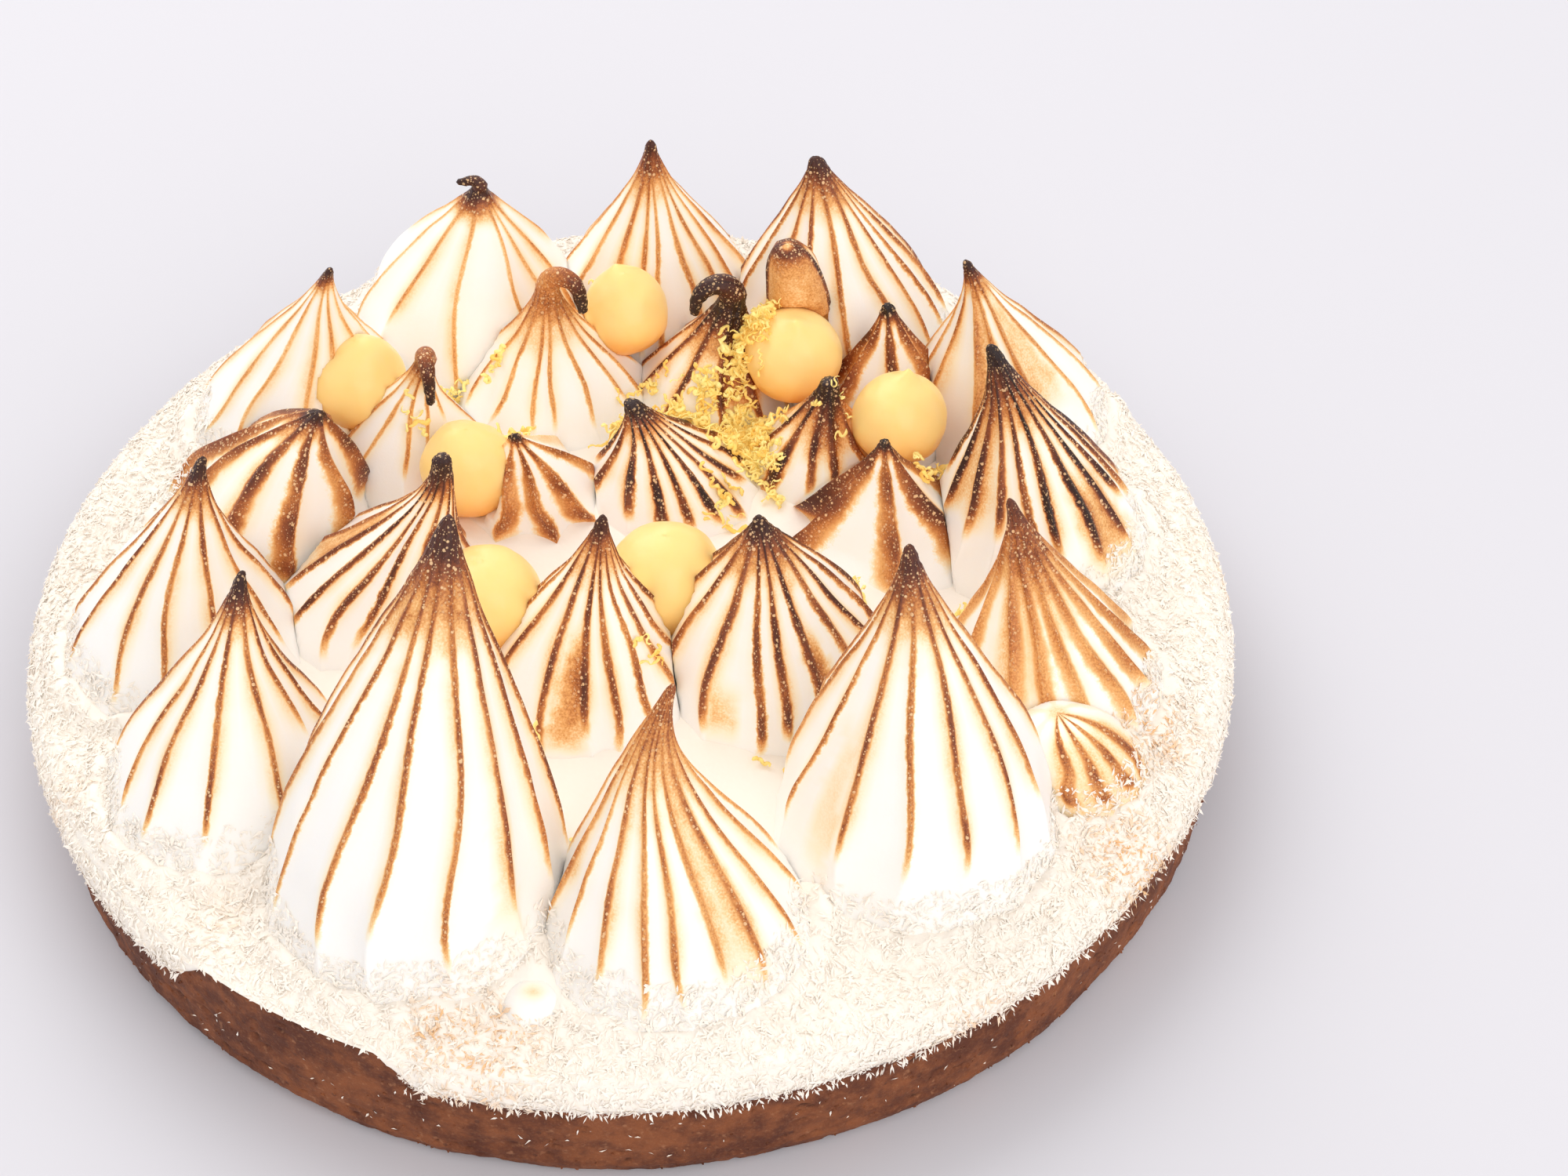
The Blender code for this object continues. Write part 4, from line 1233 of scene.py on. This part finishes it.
class PIE_OT_coconut_shreds(bpy.types.Operator):
    """Strew grated coconut over the rim and the feet of the outer kisses"""

    bl_idname = "pie.coconut_shreds"
    bl_label = "Coconut shreds"

    def execute(self, context):
        settings = context.scene.pie_coconut
        dice = random.Random(5)
        outer = [f"meringue_{kiss.name}" for kiss in KISSES if kiss.distance > OUTER_KISS]
        tree = surface_tree(["coconut_bed", "meringue_dollop", *outer])
        for name, count, length, slimness in (("coconut_shreds", settings.shreds, settings.length, 0.3),
                                              ("coconut_grains", settings.grains, settings.length * 0.45, 0.55)):
            spots = coconut_spots(count, tree, dice)
            spots = [s for s in spots if (s[0] - Vector(DOLLOP) * MM).length > DOLLOP_CLEAR * MM]
            points = shred_points(spots, length, slimness, dice)
            if name == "coconut_shreds":
                fringe = [(facing * (RIM_RADIUS - 0.2) * MM + UP * (SKIRT_FOOT + 0.9 * ragged) * MM, facing)
                          for facing, ragged in rim_edge(FRINGE, dice)]
                spots += fringe
                points = np.concatenate((points, shred_points(fringe, length * 0.75, slimness, dice, True)))
            toast = [coconut_toast(spot, dice) for spot, _ in spots]
            made = joined_copies(name, points, SPINDLE, toast, "toast")
            settle(made, bpy.data.materials["grated coconut"], "coconut")

        # A few have dropped onto the crust's wall
        wall = surface_tree(["shortcrust_case"])
        strays = []
        while len(strays) < STRAYS:
            hit, normal = cast_in(wall, dice.uniform(0, TAU), dice.triangular(1.5, 19, 14))
            if hit is not None:
                strays.append((hit, normal))
        points = shred_points(strays, settings.length * 0.55, 0.27, dice)
        made = joined_copies("coconut_strays", points, SPINDLE, [dice.uniform(0, 0.35) for _ in strays], "toast")
        settle(made, bpy.data.materials["grated coconut"], "coconut")
        return {"FINISHED"}


class PIE_OT_crumbs(bpy.types.Operator):
    """Scatter crumbs over the crust's wall"""

    bl_idname = "pie.crumbs"
    bl_label = "Crust crumbs"

    def execute(self, context):
        dice = random.Random(8)
        wall = surface_tree(["shortcrust_case"])
        bpy.ops.object.select_all(action="DESELECT")
        bpy.ops.mesh.primitive_ico_sphere_add(subdivisions=1, radius=1)
        grain = bpy.context.object
        shape = np.array([v.co for v in grain.data.vertices])
        faces = [tuple(p.vertices) for p in grain.data.polygons]
        bpy.data.objects.remove(grain, do_unlink=True)
        points = []
        while len(points) < CRUMBS:
            hit, _ = cast_in(wall, dice.uniform(0, TAU), dice.uniform(0.6, 20))
            if hit is None:
                continue
            size = dice.uniform(0.1, 0.34) * MM
            squash = np.array([dice.uniform(0.6, 1.3) for _ in range(3)])
            jitter = np.array([[dice.uniform(0.75, 1.2)] for _ in shape])
            points.append(shape * jitter * squash * size + np.array(hit))
        # Crumbs carry no painted pit shade
        made = joined_copies("crust_crumbs", np.array(points), faces, np.zeros(len(points)), "pit")
        settle(made, bpy.data.materials["baked shortcrust"], "shortcrust")
        return {"FINISHED"}


# Heaps of zest: middle x, middle y, spread, and how many strands, all in millimetres
ZEST_HEAPS = (
    (17.5, 44.5, 2.5, 46), (21.5, 46, 2.5, 30), (23, 51, 2, 26), (20, 47, 2, 30), (8, 38.5, 3, 46),
    (5, 40, 2, 24), (12.5, 40.5, 2.5, 34), (18, 39.5, 3, 56), (20, 33.5, 2.5, 50), (22.5, 32, 2.5, 28),
    (16.5, 32.5, 2.5, 42), (12.5, 36, 2.5, 24), (18, 29, 3, 34), (23, 26.5, 2.5, 20), (20, 28, 2.5, 20),
    (23.5, 22.5, 2.5, 12), (15, 17.5, 3.5, 14), (2.5, 46, 2, 7), (-2, 41.5, 2, 5), (-7.5, 65, 1, 3),
    (-32, 45.5, 2, 9), (-24, 44.5, 2, 6), (-21, 27.5, 3.5, 12), (-3, 32, 2.5, 12), (-2, 27, 2.5, 10),
    (52, 23, 2, 12), (48, 18, 2, 8), (63, 18, 1.5, 12), (37.5, -5.5, 2, 8), (43.5, -47, 1.5, 3),
    (55.5, -5.5, 1.5, 10), (4, -27, 2.5, 5), (-10, -54, 2.5, 4), (34, 28, 3, 5), (24, -40, 2.5, 3), (-36, 27, 2.5, 7),
)
STRAND_STEPS = 14
ZEST_CEILING = 48.5  # no strand lies on anything above this


def strand_path(dice):
    """A curly, crinkled path that lies about flat round the origin."""
    heading, curl, wave = dice.uniform(0, TAU), dice.uniform(0.3, 0.95), dice.uniform(0, TAU)
    step = dice.uniform(0.2, 0.42)
    place, path = np.zeros(3), []
    rise, beat = dice.uniform(0.1, 0.6), dice.uniform(0.4, 1.3)
    for index in range(STRAND_STEPS):
        heading += curl * math.sin(index * beat * 0.7 + wave) + dice.uniform(-0.4, 0.4)
        place = place + np.array((math.cos(heading), math.sin(heading), 0.0)) * step
        crinkle = dice.uniform(-0.1, 0.1)
        path.append(place + np.array((0, 0, rise * math.sin(index * beat) + crinkle)))
    return np.array(path) - np.mean(path, 0)


def strand_points(spot, tree, width, dice):
    """Rings of a thin, flat strand that lies on the surface at a spot, or above others there."""
    hit, normal, _, _ = tree.ray_cast(Vector((*spot, CAST_FROM)) * MM, -UP)
    if hit is None or hit.z > ZEST_CEILING * MM:
        return None
    path = strand_path(dice)
    forward = np.gradient(path, axis=0)
    forward /= np.linalg.norm(forward, axis=1, keepdims=True)
    side = np.cross(forward, (0.0, 0.0, 1.0))
    side /= np.maximum(np.linalg.norm(side, axis=1, keepdims=True), 1e-3)
    proud = np.cross(side, forward)
    half = width / MM / 2 * dice.uniform(0.5, 1.4)
    roll, spin = dice.uniform(-0.9, 0.9), dice.uniform(-0.16, 0.16)
    rings = []
    for index in range(STRAND_STEPS):
        roll += spin
        wide = side[index] * math.cos(roll) + proud[index] * math.sin(roll)
        thick = proud[index] * math.cos(roll) - side[index] * math.sin(roll)
        taper = 0.4 if index in (0, STRAND_STEPS - 1) else dice.uniform(0.7, 1.15)
        for across, deep in ((1, 0.22), (-1, 0.22), (-1, -0.22), (1, -0.22)):
            rings.append(path[index] + (wide * across * taper + thick * deep) * half)
    # Laid onto the surface, tipped a little
    upright = normal.lerp(UP, 0.35).normalized()
    turned = upright.to_track_quat("Z", "Y").to_matrix()
    turned = turned @ Euler((dice.gauss(0, 0.4), dice.gauss(0, 0.4), 0)).to_matrix()
    lift = np.array(hit) / MM + np.array(upright) * dice.uniform(0.25, 1.9)
    return (np.array(rings) @ np.array(turned).T + lift) * MM


class PIE_OT_zest(bpy.types.Operator):
    """Strew curled strands of lemon zest"""

    bl_idname = "pie.zest"
    bl_label = "Lemon zest"

    def execute(self, context):
        settings = context.scene.pie_zest
        dice = random.Random(21)
        names = [f"meringue_{kiss.name}" for kiss in KISSES] + [f"ball_{ball.name}" for ball in BALLS]
        tree = surface_tree(["coconut_bed", *names])
        strands = []
        for x, y, spread, count in ZEST_HEAPS:
            for _ in range(count):
                spot = (dice.gauss(x, spread * 0.6), dice.gauss(y, spread * 0.6))
                points = strand_points(spot, tree, settings.width, dice)
                if points is not None:
                    strands.append(points)
        last = (STRAND_STEPS - 1) * 4
        faces = [(low + corner, low + (corner + 1) % 4, low + 4 + (corner + 1) % 4, low + 4 + corner)
                 for low in range(0, last, 4) for corner in range(4)]
        faces += [(3, 2, 1, 0), (last, last + 1, last + 2, last + 3)]
        tones = [dice.uniform(0, 1) ** 1.5 for _ in strands]
        made = joined_copies("lemon_zest", np.array(strands), faces, tones, "tone")
        with opened(made.data) as work:
            bmesh.ops.recalc_face_normals(work, faces=work.faces)
        made.data.shade_smooth()
        settle(made, zest_look(settings), "lemon_curd")
        return {"FINISHED"}


# ---------------------------------------------------------------- stage


FLOOR_RADIUS = 3.0
FLOOR_DROP = 0.0002  # how far the floor lies below the crust's foot, so that the two don't meet
AIM = Vector((25.3, 27.8, 0)) * MM  # what the camera looks at


class PIE_OT_stage(bpy.types.Operator):
    """Lay the floor, hang the lights and set up the camera"""

    bl_idname = "pie.stage"
    bl_label = "Stage"

    def execute(self, context):
        settings = context.scene.pie_stage
        bpy.ops.object.select_all(action="DESELECT")
        bpy.ops.mesh.primitive_circle_add(vertices=96, radius=FLOOR_RADIUS, fill_type="NGON",
                                          location=(0, 0, -FLOOR_DROP))
        floor = context.object
        floor.name = "floor"
        bpy.ops.object.transform_apply(location=True, rotation=True, scale=True)
        floor.data.materials.append(floor_look(settings))

        world = bpy.data.worlds.new("studio")
        world.use_nodes = True
        background = world.node_tree.nodes["Background"].inputs
        background["Color"].default_value = (1.0, 0.985, 0.97, 1.0)
        background["Strength"].default_value = 0.84
        context.scene.world = world
        context.scene.view_settings.view_transform = "Standard"
        for name, place, size, power, tint in (
            ("key", (-0.35, 0.75, 0.95), 1.3, settings.key, (1.0, 0.98, 0.95)),
            ("fill", (0.5, -0.9, 0.7), 1.2, settings.key * 0.72, (1.0, 0.985, 0.96)),
        ):
            light = bpy.data.lights.new(name, "AREA")
            light.shape = "DISK"
            light.size = size
            light.energy = power
            light.color = tint
            lamp = bpy.data.objects.new(name, light)
            lamp.location = place
            lamp.rotation_euler = (-Vector(place)).to_track_quat("-Z", "Y").to_euler()
            context.scene.collection.objects.link(lamp)

        angle = settings.elevation
        camera = bpy.data.cameras.new("camera")
        camera.sensor_width = 36
        camera.lens = settings.lens
        camera.clip_start = 0.01
        eye = bpy.data.objects.new("camera", camera)
        eye.location = AIM + Vector((0, -math.cos(angle), math.sin(angle))) * settings.distance
        eye.rotation_euler = (math.pi / 2 - angle, 0, 0)
        context.scene.collection.objects.link(eye)
        context.scene.camera = eye
        return {"FINISHED"}


# ---------------------------------------------------------------- the add-on

OPERATORS = (PIE_OT_crust, PIE_OT_coconut_bed, PIE_OT_kisses, PIE_OT_dollop, PIE_OT_curd, PIE_OT_coconut_shreds,
             PIE_OT_crumbs, PIE_OT_zest, PIE_OT_stage)
SETTINGS = {"pie_crust": CrustSettings, "pie_meringue": MeringueSettings, "pie_coconut": CoconutSettings,
            "pie_curd": CurdSettings, "pie_zest": ZestSettings, "pie_stage": StageSettings}


class PIE_PT_panel(bpy.types.Panel):
    bl_label = "Lemon meringue pie"
    bl_idname = "PIE_PT_panel"
    bl_space_type = "VIEW_3D"
    bl_region_type = "UI"
    bl_category = "Pie"

    def draw(self, context):
        for operator in OPERATORS:
            self.layout.operator(operator.bl_idname)
        for name, group in SETTINGS.items():
            box = self.layout.box()
            for field in group.__annotations__:
                box.prop(getattr(context.scene, name), field)


def register():
    for each in (*SETTINGS.values(), *OPERATORS, PIE_PT_panel):
        bpy.utils.register_class(each)
    for name, group in SETTINGS.items():
        setattr(bpy.types.Scene, name, PointerProperty(type=group))


def unregister():
    for name in SETTINGS:
        delattr(bpy.types.Scene, name)
    for each in (PIE_PT_panel, *reversed(OPERATORS), *SETTINGS.values()):
        bpy.utils.unregister_class(each)


def main():
    for old in ("Cube", "Light", "Camera"):
        if old in bpy.data.objects:
            bpy.data.objects.remove(bpy.data.objects[old], do_unlink=True)
    register()
    bpy.ops.pie.crust()
    bpy.ops.pie.coconut_bed()
    bpy.ops.pie.kisses()
    bpy.ops.pie.dollop()
    bpy.ops.pie.curd()
    bpy.ops.pie.coconut_shreds()
    bpy.ops.pie.crumbs()
    bpy.ops.pie.zest()
    bpy.ops.pie.stage()


if __name__ == "__main__":
    main()
